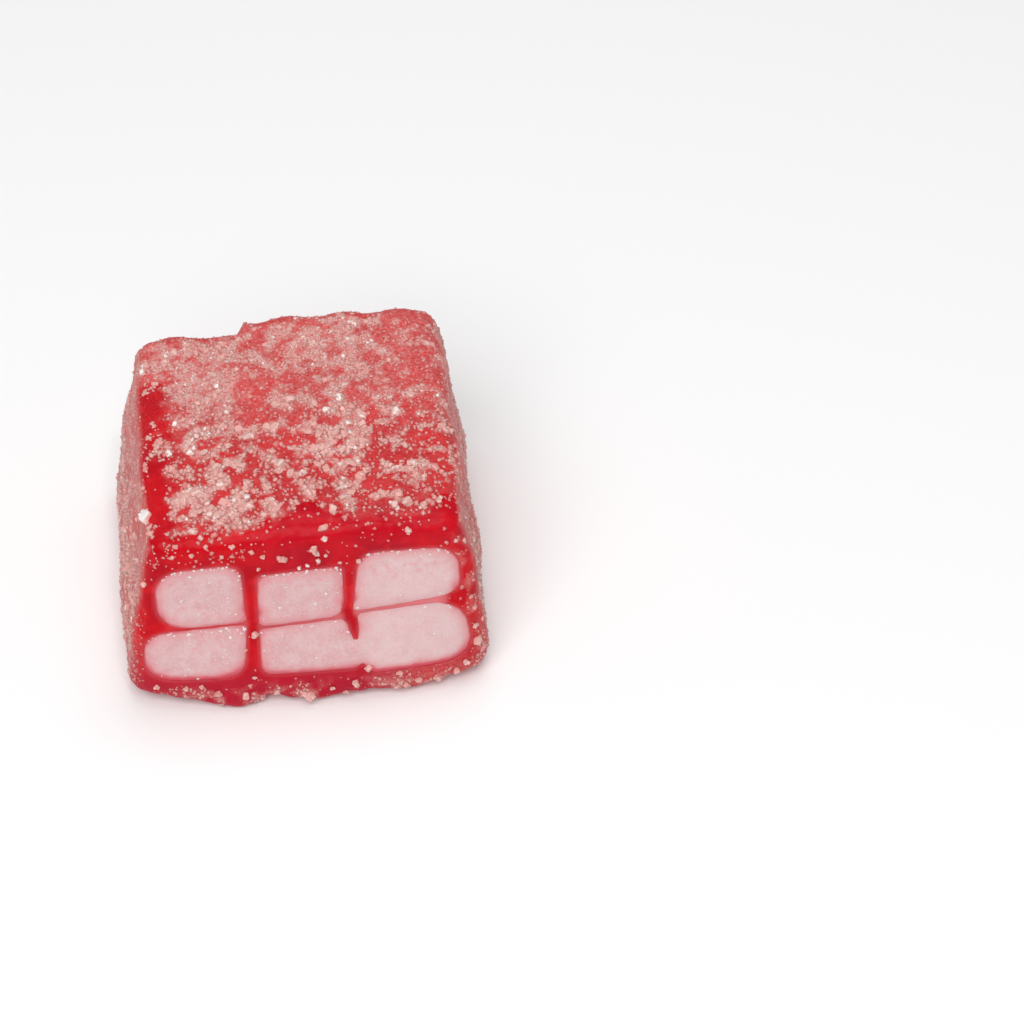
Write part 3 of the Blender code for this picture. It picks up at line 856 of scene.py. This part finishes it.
# %% [markdown]
# ## The filling strands
#
# A strand is long and plain, and all that shows of it is its two ends. So it is a
# block whose ends are fine grids and whose sides are single long faces, cut to its
# section with a Boolean and then pushed between the front cut and the torn end.
# The knife drags the soft filling a little. Its face is tucked in at the rim, stands a
# tenth of a millimetre proud in the middle, and is smeared over the thin wall between
# the rows, so that the wall looks thinner than it is.

# %% Blocks for the strands
FILLING_GRID = 0.10
MARGIN = 0.5
# How far a strand's edge goes into the gel, and how far over the thin wall
BITE = 0.04
SMEAR = 0.13
SMEAR_PROUD = 0.025
MIDDLE_PROUD = 0.09
RIM_WIDTH = 0.7


def widened(outline, distance):
    """The outline moved outwards by a distance, along the mean of its sides' normals."""
    before = outline - np.roll(outline, 1, axis=0)
    after = np.roll(outline, -1, axis=0) - outline
    along = unit(before) + unit(after)
    outward = np.stack([along[:, 1], -along[:, 0]], axis=1)
    return outline + unit(outward) * distance


def make_grid_block(name, outline):
    """A block round an outline, with fine grids for its two ends."""
    low, high = outline.min(axis=0) - MARGIN, outline.max(axis=0) + MARGIN
    columns, rows = ((high - low) / FILLING_GRID).astype(int)
    deselect_all()
    bpy.ops.mesh.primitive_grid_add(x_subdivisions=int(columns), y_subdivisions=int(rows), size=1.0)
    block = bpy.context.object
    block.name = name
    spread = low + (points_of(block)[:, :2] + 0.5) * (high - low)
    set_points(block, np.insert(spread, 1, FRONT_CUT_Y, axis=1))
    extrude_to_the_end(FAR_END_Y - FRONT_CUT_Y)
    return block


def face_stand(distance, wall=0.0):
    """How proud a strand's face stands, by the distance from its rim, and at the thin wall."""
    tucked = BITE * (1.0 - np.clip(distance / BITE, 0.0, 1.0))
    smeared = SMEAR_PROUD * wall * fade(distance, 0.0, BITE + SMEAR)
    return np.maximum(MIDDLE_PROUD * fade(distance, BITE, BITE + RIM_WIDTH), smeared) - tucked


# %% [markdown]
# Dye creeps in from every side that touches gel, so it goes deepest in a corner and
# hardly at all from the thin wall. The distance to the rim knows nothing of corners. So
# a map of the section, 1 in the gel and 0 in the cream, is blurred by three widths, and
# each place reads how much gel lies round it. In the upper row the knife has also
# dragged pink blotches over the face.

# %% Dye in the strands
MAP_STEP = 0.06
MAP_MARGIN = 2.0
DYE_SPREADS = (0.16, 0.45, 0.60)
# The upper right strand is dyed deepest in its upper left corner: (x, z, how far it goes)
DYED_CORNER = (2.95, 11.65, 1.25)
# Fades over the blurred maps: the upper rims are sharp, the lower ones are soft
SHARP_RIM, SOFT_RIM, CORNER_RIM = (0.12, 0.55), (0.0, 0.44), (0.38, 0.56)
BLOTCH_SHARE, BLOTCHES_Z, BLOTCHES_X = 0.55, (8.6, 10.4), (-3.6, -2.6)


def blurred(field, spread):
    """A map, blurred both ways by a bell curve that is this many millimetres wide."""
    reach = int(3 * spread / MAP_STEP)
    kernel = np.exp(-0.5 * (np.arange(-reach, reach + 1) * MAP_STEP / spread) ** 2)
    kernel /= kernel.sum()
    for axis in (0, 1):
        field = np.apply_along_axis(np.convolve, axis, field, kernel, mode="same")
    return field


map_x = np.arange(FOOT_LEFT - MAP_MARGIN, FOOT_RIGHT + MAP_MARGIN, MAP_STEP)
map_z = np.arange(-MAP_MARGIN, BLOCK_HEIGHT + MAP_MARGIN, MAP_STEP)
grid_x, grid_z = (values.ravel() for values in np.meshgrid(map_x, map_z, indexing="ij"))
corner_x, corner_z, corner_size = DYED_CORNER
in_dyed_corner = (grid_x > corner_x - 0.3) & (grid_x - corner_x + corner_z - grid_z < corner_size)
gel_map = (filling_depth(grid_x, grid_z) < 0.0) | in_dyed_corner
gel_map = gel_map.reshape(len(map_x), len(map_z)).astype(float)
DYE_MAPS = [blurred(gel_map, spread) for spread in DYE_SPREADS]


def rim_share(outline, x, z):
    """How red the dye has made the strand: 1 at the gel, 0.5 where it is pink, 0 inside."""
    column = ((x - map_x[0]) / MAP_STEP).round().astype(int)
    row = ((z - map_z[0]) / MAP_STEP).round().astype(int)
    near, middle, far = (dye[column, row] for dye in DYE_MAPS)
    wobble = noise_field(on_section(x, z), 0.7, 22, octaves=2)
    below = outline[:, 1].mean() - z
    low = fade(below / np.ptp(outline[:, 1]) * 2.0, 0.1, 0.9)
    wall = facing_thin_wall(x, z)
    sharp = fade(near + 0.08 * wobble, *SHARP_RIM)
    soft = fade(middle + 0.10 * wobble, *SOFT_RIM)
    in_corner = fade(middle + 0.04 * wobble, *CORNER_RIM)
    dyed = np.maximum(sharp + (soft - sharp) * low * (1.0 - wall), in_corner)
    pink = fade(far + 0.06 * wobble, 0.03 - 0.03 * low, 0.50 - 0.10 * low)
    dyed *= 1.0 - wall * np.clip(0.55 + 0.045 * x, 0.0, 0.9)
    pink *= 1.0 - wall * np.clip(0.30 + 0.05 * x, 0.0, 0.75)
    blotches = fade(noise_field(on_section(x, z), 0.38, 23, octaves=2), 0.02, 0.45)
    dragged = fade(z, *BLOTCHES_Z) * fade(x, *BLOTCHES_X)
    return 0.5 * dyed + 0.5 * np.maximum(pink, BLOTCH_SHARE * dragged * blotches)


# %% [markdown]
# Each strand is now cut to its section, its two faces are pushed onto the cut and the
# torn end, and what the dye and the starch have done is kept on its points.

# %% Make the strands
UNEVENNESS, UNEVENNESS_SIZE = 0.02, 0.8
STARCHY_X = (2.0, 5.0)


def make_filling(node):
    """One strand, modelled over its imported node."""
    rim = OUTLINES[node]
    outline = widened(rim, (BITE + SMEAR * in_thin_wall(*rim.T))[:, None])
    strand = make_grid_block(node.replace("filling", "cream"), outline)
    cut_with(strand, outline, "INTERSECT")
    x, y, z = points_of(strand).T
    at_far_end = y > (FRONT_CUT_Y + FAR_END_Y) / 2
    distance, _ = outline_distance(outline, x, z)
    proud = face_stand(distance, in_thin_wall(x, z))
    uneven = noise_field(on_section(x, z), UNEVENNESS_SIZE, 21, octaves=2)
    proud += UNEVENNESS * fade(distance, 0.1, 0.4) * uneven
    y = np.where(at_far_end, far_y(x, z) + proud, front_y(x, z) - proud)
    set_points(strand, np.stack([x, y, z], axis=1))
    write_attribute(strand, "rim", rim_share(outline, x, z))
    write_attribute(strand, "starch", fade(x, *STARCHY_X))
    make_active(strand)
    bpy.ops.object.shade_smooth_by_angle(angle=math.radians(40.0))
    finish_piece(strand, filling_material, node)


for node in STRANDS:
    make_filling(node)


# %% [markdown]
# ## The sugar crystals
#
# Thousands of crystals could be particles or instances, but those are lost when the
# model leaves Blender. So each kind is modelled once, with few faces because it
# repeats so often, and its copies are joined into one mesh. The worn block keeps its
# flat facets, which catch the light, and the plain one is so small that it is shaded
# smooth and looks like a worn grain.

# %% Model the kinds of crystal
def make_crystal(name, bevel, squeeze):
    """A blocky crystal of unit size with its edges worn by a bevel."""
    deselect_all()
    bpy.ops.mesh.primitive_cube_add(size=1.0)
    crystal = bpy.context.object
    edit_mode()
    if bevel:
        bpy.ops.mesh.bevel(offset=bevel, segments=1)
    bpy.ops.mesh.quads_convert_to_tris()
    object_mode()
    shape = points_of(crystal)
    shape[:, 0] *= 1.0 - squeeze * shape[:, 2]
    shape[:, 1] *= 1.0 + squeeze * shape[:, 2] * 0.6
    faces = np.array([list(polygon.vertices) for polygon in crystal.data.polygons])
    bpy.data.objects.remove(crystal, do_unlink=True)
    print(name, len(faces), "faces")
    return shape, faces


WORN_BLOCK = make_crystal("worn_block", bevel=0.16, squeeze=0.25)
PLAIN_BLOCK = make_crystal("plain_block", bevel=0.0, squeeze=0.35)

# %% [markdown]
# Places are drawn evenly over the skin: a triangle by its area, and then a point in it.
# At each place a copy is stretched, jittered, turned at random, sunk a little into the
# gel and, for a flake, flattened against it.

# %% Scatter and join
STRETCH = (0.75, 1.25)
JITTER = (0.82, 1.14)


def skin_triangles():
    """The gel's outer triangles: corners, normals and areas."""
    mesh = gel.data
    mesh.calc_loop_triangles()
    corners = np.empty(len(mesh.loop_triangles) * 3, dtype=np.int32)
    mesh.loop_triangles.foreach_get("vertices", corners)
    corners = corners.reshape(-1, 3)
    a, b, c = (skin_points[corners[:, k]] for k in range(3))
    cross = np.cross(b - a, c - a)
    area = np.linalg.norm(cross, axis=1) / 2
    outer = ~in_channel[corners].any(axis=1) & (area > 1e-9)
    return a[outer], b[outer], c[outer], cross[outer] / (2 * area[outer, None]), area[outer]


TRIANGLES = skin_triangles()


def skin_places(draw, count):
    """Even random places on the skin, with their normals."""
    a, b, c, normal, area = TRIANGLES
    chosen = draw.choice(len(area), size=count, p=area / area.sum())
    u, v = draw.random(count), draw.random(count)
    over = u + v > 1
    u[over], v[over] = 1 - u[over], 1 - v[over]
    place = a[chosen] + (b - a)[chosen] * u[:, None] + (c - a)[chosen] * v[:, None]
    return place, normal[chosen]


def random_turns(draw, count):
    """Random turns as 3 x 3 matrices, from random unit quaternions."""
    q = draw.normal(size=(count, 4))
    w, i, j, k = unit(q).T
    rows = [
        [1 - 2 * (j * j + k * k), 2 * (i * j - k * w), 2 * (i * k + j * w)],
        [2 * (i * j + k * w), 1 - 2 * (i * i + k * k), 2 * (j * k - i * w)],
        [2 * (i * k - j * w), 2 * (j * k + i * w), 1 - 2 * (i * i + j * j)],
    ]
    return np.array(rows).transpose(2, 0, 1)


def join_crystals(name, kind, draw, places, normals, sizes, tints, sunk, flat=0.0):
    """One mesh of all the copies of a crystal, sunk by shares of their size and flattened."""
    shape, faces = kind
    count = len(places)
    stretch = draw.uniform(*STRETCH, size=(count, 1, 3))
    jitter = draw.uniform(*JITTER, size=(count, len(shape), 3))
    local = shape[None] * stretch * jitter * sizes[:, None, None]
    turned = np.einsum("nij,nvj->nvi", random_turns(draw, count), local)
    height = np.einsum("nvi,ni->nv", turned, normals)
    turned -= flat * height[:, :, None] * normals[:, None]
    centres = places - normals * (sizes * sunk)[:, None]
    points = turned + centres[:, None]
    points[:, :, 2] = np.maximum(points[:, :, 2], 0.0)
    all_faces = faces[None] + (np.arange(count) * len(shape))[:, None, None]
    mesh = bpy.data.meshes.new(name)
    mesh.from_pydata(points.reshape(-1, 3), [], all_faces.reshape(-1, 3).tolist())
    sugar = bpy.data.objects.new(name, mesh)
    bpy.context.collection.objects.link(sugar)
    paled = tints[:, None] * (0.75 + 0.5 * np.clip(height / sizes[:, None], -0.5, 0.5))
    write_attribute(sugar, "tint", paled.ravel())
    make_active(sugar)
    if kind is PLAIN_BLOCK:
        bpy.ops.object.shade_smooth()
    finish_piece(sugar, sugar_material)


# %% [markdown]
# Three sizes of grain make the crust. The large ones are rare and stand on the clumps,
# the middle ones make up the crust itself, and the fine ones fill between them and
# stray further out over the bare gel, most of all on the band beside the cut. On the
# dampest clumps, grains have grown together into flat flakes.

# %% Scatter the crust
STRAYS_ON_BAND, STRAYS_BAND_Y, STRAYS_BAND_Z = 6.0, (-7.0, -9.0), (11.3, 12.3)
STRAYS_ON_LEFT, STRAYS_LEFT_X = 2.0, (-1.5, -4.0)
# Grains are smaller and sit deeper towards the rear and on the underside
CALM_Y, CALM_BELOW = (-3.0, 5.0), (0.6, 0.4)
CALM_SMALLER, SUNK, CALM_SUNK = 0.6, 0.05, 0.20
TINT_OF_STRAYS, TINT_IN_CRUST, TINT_SPREAD = 0.13, 0.57, 0.14
GLINT_CHANCE, GLINT = 0.04, 0.35
FLAKE_SIZES, FLAKE_TINTS = (0.22, 0.46), (0.50, 0.90)
FLAKE_FLATTENED, FLAKE_RAISED = 0.6, 0.10


def crust_of(name, kind, seed, tries, sizes_mm, power, stray, clear):
    """Crystals where the sugar rule wants them, plus a few strays anywhere."""
    draw = np.random.default_rng(seed)
    places, normals = skin_places(draw, tries)
    share, _ = sugar_share(places, normals)
    chance = share**power
    x, y, z = places.T
    upright = (normals[:, 2] > -0.4) & (z > 0.12)
    band = fade(y, *STRAYS_BAND_Y) * fade(z, *STRAYS_BAND_Z)
    left = STRAYS_ON_LEFT * fade(x, *STRAYS_LEFT_X)
    band *= fade(noise_field(places, 1.3, 9), -0.1, 0.3) + left
    chance = np.maximum(chance, stray * (1.0 + STRAYS_ON_BAND * band) * upright)
    keep = draw.random(tries) < chance
    on_ends = np.abs(normals[:, 1]) > 0.5
    keep &= ~(on_ends & (filling_depth(x, z) > -clear))
    places, normals, share = places[keep], normals[keep], share[keep]
    smallest, largest = sizes_mm
    calm = np.maximum(fade(places[:, 1], *CALM_Y), fade(normals[:, 2], *CALM_BELOW))
    spread = (largest - smallest) * draw.random(len(places)) ** 2
    sizes = smallest + spread * (1.0 - CALM_SMALLER * calm)
    tints = TINT_OF_STRAYS + TINT_IN_CRUST * share + TINT_SPREAD * draw.normal(size=len(places))
    tints[draw.random(len(places)) < GLINT_CHANCE] += GLINT
    join_crystals(name, kind, draw, places, normals, sizes, tints, sunk=SUNK + CALM_SUNK * calm)


def flakes(tries):
    """Grains grown together into flat flakes, lying on the thickest clumps in front."""
    draw = np.random.default_rng(44)
    places, normals = skin_places(draw, tries)
    share, _ = sugar_share(places, normals)
    on_ridge = places[:, 0] < -7.6
    in_front = fade(places[:, 1], 3.0, -3.0) * (normals[:, 2] > 0.6) * ~on_ridge
    keep = draw.random(tries) < in_front * fade(share, 0.55, 0.95)
    places, normals = places[keep], normals[keep]
    sizes = draw.uniform(*FLAKE_SIZES, size=len(places))
    tints = draw.uniform(*FLAKE_TINTS, size=len(places))
    laid = {"sunk": -FLAKE_RAISED, "flat": FLAKE_FLATTENED}
    join_crystals("sugar_flakes", WORN_BLOCK, draw, places, normals, sizes, tints, **laid)


# Grains as (name, kind, seed, tries, sizes in mm, how strictly they keep to the crust,
# the share that strays, how far they stay off a strand)
GRAINS = [
    ("sugar_large", WORN_BLOCK, 41, 3500, (0.28, 0.55), 2.0, 0.002, 0.3),
    ("sugar_middle", PLAIN_BLOCK, 42, 17000, (0.16, 0.32), 1.2, 0.008, 0.12),
    ("sugar_fine", PLAIN_BLOCK, 43, 24000, (0.09, 0.18), 0.6, 0.02, 0.05),
]
flakes(6000)
for grain in GRAINS:
    crust_of(*grain)

# %% [markdown]
# A few crystals are large or bright enough to be told apart, so they are listed one by one:
# one big pale grain on the left ridge, a square one at the foot of the cut, and a
# scatter of bright ones where the top meets the cut. Each is set on the point of
# the skin that is nearest to its place as seen from the front or from above.

# %% Place single crystals
# Each one is a crystal with two smaller ones grown onto it, this far aside
SHARES_OF_SIZE = (0.66, 0.45, 0.38)
ASIDE = (0.0, 0.34, 0.34)
SINGLE_RAISED = 0.12
# Crystals as (x, y, size, tint) on the top and (x, z, size, tint) on the cut
ON_TOP = [
    (-9.75, -6.2, 1.15, 1.4), (-9.3, -5.8, 0.7, 1.2), (5.8, -7.8, 0.75, 1.0), (6.8, -7.4, 0.7, 0.9),
    (7.6, -7.9, 0.6, 0.9), (8.6, -7.6, 0.6, 0.9), (2.1, -7.9, 0.7, 0.9), (1.4, -9.0, 0.6, 0.8),
    (0.1, 2.3, 0.9, 0.9), (2.8, -1.0, 0.8, 0.9), (-1.0, -3.3, 0.8, 0.9), (4.4, -4.6, 0.6, 0.8),
]
ON_CUT = [
    (-0.26, 1.0, 0.85, 0.9), (-3.35, 6.05, 0.6, 0.9), (2.8, 1.4, 0.6, 0.8), (3.8, 2.7, 0.5, 0.7),
    (5.6, 1.9, 0.5, 0.7), (0.7, 12.5, 0.65, 0.8), (-1.2, 11.8, 0.6, 0.6), (6.5, 13.2, 0.5, 0.9),
    (1.0, 12.0, 0.35, 1.0), (0.9, 11.4, 0.35, 1.0), (0.3, 11.1, 0.3, 1.0), (1.4, 11.7, 0.3, 0.9),
    (-0.2, 10.85, 0.3, 1.0), (2.3, 11.0, 0.3, 0.9), (-2.5, 12.1, 0.35, 0.8), (-2.7, 11.1, 0.3, 0.9),
    (3.4, 11.1, 0.5, 0.7), (9.4, 12.1, 0.35, 1.0), (10.7, 3.3, 0.65, 0.8), (10.5, 4.6, 0.5, 0.7),
    (-10.1, 10.1, 0.45, 0.8), (-3.6, 2.6, 0.3, 0.9), (-4.0, 4.9, 0.25, 0.8), (-6.9, 2.0, 0.4, 0.8),
    (-9.8, 1.8, 0.45, 0.7), (-8.0, 1.8, 0.45, 0.7), (-6.0, 1.5, 0.5, 0.6), (-4.2, 1.3, 0.55, 0.7),
    (-2.2, 1.1, 0.5, 0.75), (1.3, 1.2, 0.4, 0.8), (2.1, 0.8, 0.4, 0.6), (5.9, 1.0, 0.45, 0.7),
    (6.7, 1.1, 0.5, 0.6), (8.0, 1.0, 0.5, 0.8), (9.2, 1.3, 0.55, 0.7), (10.0, 1.8, 0.5, 0.9),
    (-8.0, 12.8, 0.35, 0.7), (-6.8, 12.7, 0.35, 0.8), (-7.6, 13.3, 0.4, 0.6), (-5.9, 13.2, 0.35, 0.7),
    (-4.3, 13.1, 0.4, 0.8), (-3.1, 12.7, 0.4, 0.7), (1.5, 13.1, 0.45, 0.9), (-5.0, 12.4, 0.3, 0.8),
]


def nearest_skin(place, across, facing):
    """The skin point nearest to a place in two of the axes, on the side that faces one way."""
    wanted = skin_normals @ np.array(facing) > 0.5
    candidates = np.flatnonzero(wanted)
    gap = np.linalg.norm(skin_points[candidates][:, across] - np.array(place), axis=1)
    return candidates[gap.argmin()]


def single_crystals():
    """All the listed crystals in one mesh."""
    draw = np.random.default_rng(51)
    found = [nearest_skin(spot[:2], [0, 1], (0.0, 0.0, 1.0)) for spot in ON_TOP]
    found += [nearest_skin(spot[:2], [0, 2], (0.0, -1.0, 0.0)) for spot in ON_CUT]
    spots = len(found)
    found = np.repeat(found, 3)
    whole_sizes = np.repeat([spot[2] for spot in ON_TOP + ON_CUT], 3)
    tints = np.repeat([spot[3] for spot in ON_TOP + ON_CUT], 3)
    sizes = whole_sizes * np.tile(SHARES_OF_SIZE, spots)
    aside = draw.normal(size=(len(found), 3))
    aside *= np.tile(ASIDE, spots)[:, None] / np.linalg.norm(aside, axis=1)[:, None]
    places = skin_points[found] + aside * whole_sizes[:, None]
    normals = skin_normals[found]
    tints = tints - 0.15 * draw.random(len(found))
    join_crystals("sugar_single", WORN_BLOCK, draw, places, normals, sizes, tints, sunk=-SINGLE_RAISED)


single_crystals()

# %% [markdown]
# The finest sugar lies on the soft filling as specks. They are coloured glint white, so
# they are painted highlights as well as sugar, and they are thickest along the upper rim
# of each window, where they stand for glints of light on the gel's edge.

# %% Dust and painted glints on the filling
# Specks of sugar in glint white, painted highlights most of all along the upper rims
DUST_ANYWHERE, GLINTS_ON_RIM = 0.020, 0.95
GLINT_RIM_REACH, GLINT_RIM_HEIGHT = (0.35, 0.05), (1.2, 0.3)
DUST_SMALLEST, DUST_LARGER = 0.07, 0.12
DUST_GLINT_TINTS = (1.0, 1.5)


def dust_and_glints_on_filling(tries):
    """Specks on the front faces of all the strands, coloured white as painted glints."""
    draw = np.random.default_rng(61)
    places, sizes = [], []
    for outline in OUTLINES.values():
        low, high = outline.min(axis=0), outline.max(axis=0)
        spot = low + (high - low) * draw.random((tries, 2))
        distance, inside = outline_distance(outline, *spot.T)
        at_glint_rim = fade(distance, *GLINT_RIM_REACH)
        at_glint_rim = at_glint_rim * fade(spot[:, 1], *(high[1] - np.array(GLINT_RIM_HEIGHT)))
        chance = DUST_ANYWHERE + GLINTS_ON_RIM * at_glint_rim
        keep = inside & (distance > 0.04) & (draw.random(tries) < chance)
        x, z = spot[keep].T
        y = front_y(x, z) - face_stand(distance[keep] + BITE)
        places.append(np.stack([x, y, z], axis=1))
        sizes.append(DUST_SMALLEST + DUST_LARGER * draw.random(len(x)) ** 2)
    places, sizes = np.concatenate(places), np.concatenate(sizes)
    normals = np.tile([0.0, -1.0, 0.0], (len(places), 1))
    # Every speck gets a glint white: a painted highlight
    tints = draw.uniform(*DUST_GLINT_TINTS, size=len(places))
    join_crystals("sugar_dust_glints", PLAIN_BLOCK, draw, places, normals, sizes, tints, sunk=0.1, flat=0.5)


dust_and_glints_on_filling(900)

# %% [markdown]
# The gel is finished last, because the crystals had to find its skin while it was still
# in millimetres.

# %% Finish the gel
finish_piece(gel, gel_material, "gel_body")

# %% [markdown]
# ## Floor, light and camera
#
# A plain pale floor takes a soft shadow and a little of the red.

# %% Floor
FLOOR_WHITE = (0.94, 0.94, 0.94)

deselect_all()
bpy.ops.mesh.primitive_plane_add(size=1.2, location=(0.0, 0.0, 0.0))
floor = bpy.context.object
floor.name = "floor"
floor_look = Recipe("floor_white", Roughness=0.9, Specular_IOR_Level=0.1)
floor_look.shader.inputs["Base Color"].default_value = (*FLOOR_WHITE, 1.0)
floor.data.materials.append(floor_look.material)

# %% [markdown]
# Large soft lights leave the red clean. The world stays dim, because a bright one
# mirrors in the damp gel and turns it pink. One small light high on the right makes the
# sugar glint.

# %% World and lights
WORLD_STRENGTH = 0.30

scene = bpy.context.scene
scene.view_settings.view_transform = "Standard"
world = bpy.data.worlds.new("studio")
world.use_nodes = True
world.node_tree.nodes["Background"].inputs["Color"].default_value = (1.0, 1.0, 1.0, 1.0)
world.node_tree.nodes["Background"].inputs["Strength"].default_value = WORLD_STRENGTH
scene.world = world


def area_light(name, size, power, azimuth, elevation, distance):
    """A square soft light aimed at the brick. Azimuth 0 is in front, 90 on the right."""
    a, e = math.radians(azimuth), math.radians(elevation)
    away = Vector((math.sin(a) * math.cos(e), -math.cos(a) * math.cos(e), math.sin(e)))
    data = bpy.data.lights.new(name, "AREA")
    data.size = size
    data.energy = power
    light = bpy.data.objects.new(name, data)
    light.location = away * distance
    light.rotation_euler = away.to_track_quat("Z", "Y").to_euler()
    scene.collection.objects.link(light)


# Lights as (name, size in m, power in W, azimuth, elevation, distance in m)
area_light("front_softbox", 0.30, 1.15, -20.0, 50.0, 0.42)
area_light("top_softbox", 0.25, 0.52, 150.0, 76.0, 0.42)
area_light("sparkle", 0.03, 0.12, 25.0, 66.0, 0.40)

# %% [markdown]
# The camera looks down as a person at a table does. It stands well back, with a long
# lens, so that the brick's sides lean together only a little.

# %% Camera
CAMERA_TARGET = Vector((13.94, -1.63, 6.0)) * MM
CAMERA_AZIMUTH = -6.9
CAMERA_ELEVATION = 45.0
CAMERA_DISTANCE = 185.8 * MM
CAMERA_LENS = 100.0
CAMERA_SENSOR = 36.0

turn, rise = math.radians(CAMERA_AZIMUTH), math.radians(CAMERA_ELEVATION)
back = Vector((math.sin(turn) * math.cos(rise), -math.cos(turn) * math.cos(rise), math.sin(rise)))
camera_data = bpy.data.cameras.new("camera")
camera_data.lens = CAMERA_LENS
camera_data.sensor_width = CAMERA_SENSOR
camera_data.clip_start = 0.01
camera_data.clip_end = 10.0
camera = bpy.data.objects.new("camera", camera_data)
camera.location = CAMERA_TARGET + back * CAMERA_DISTANCE
camera.rotation_euler = back.to_track_quat("Z", "Y").to_euler()
scene.collection.objects.link(camera)
scene.camera = camera
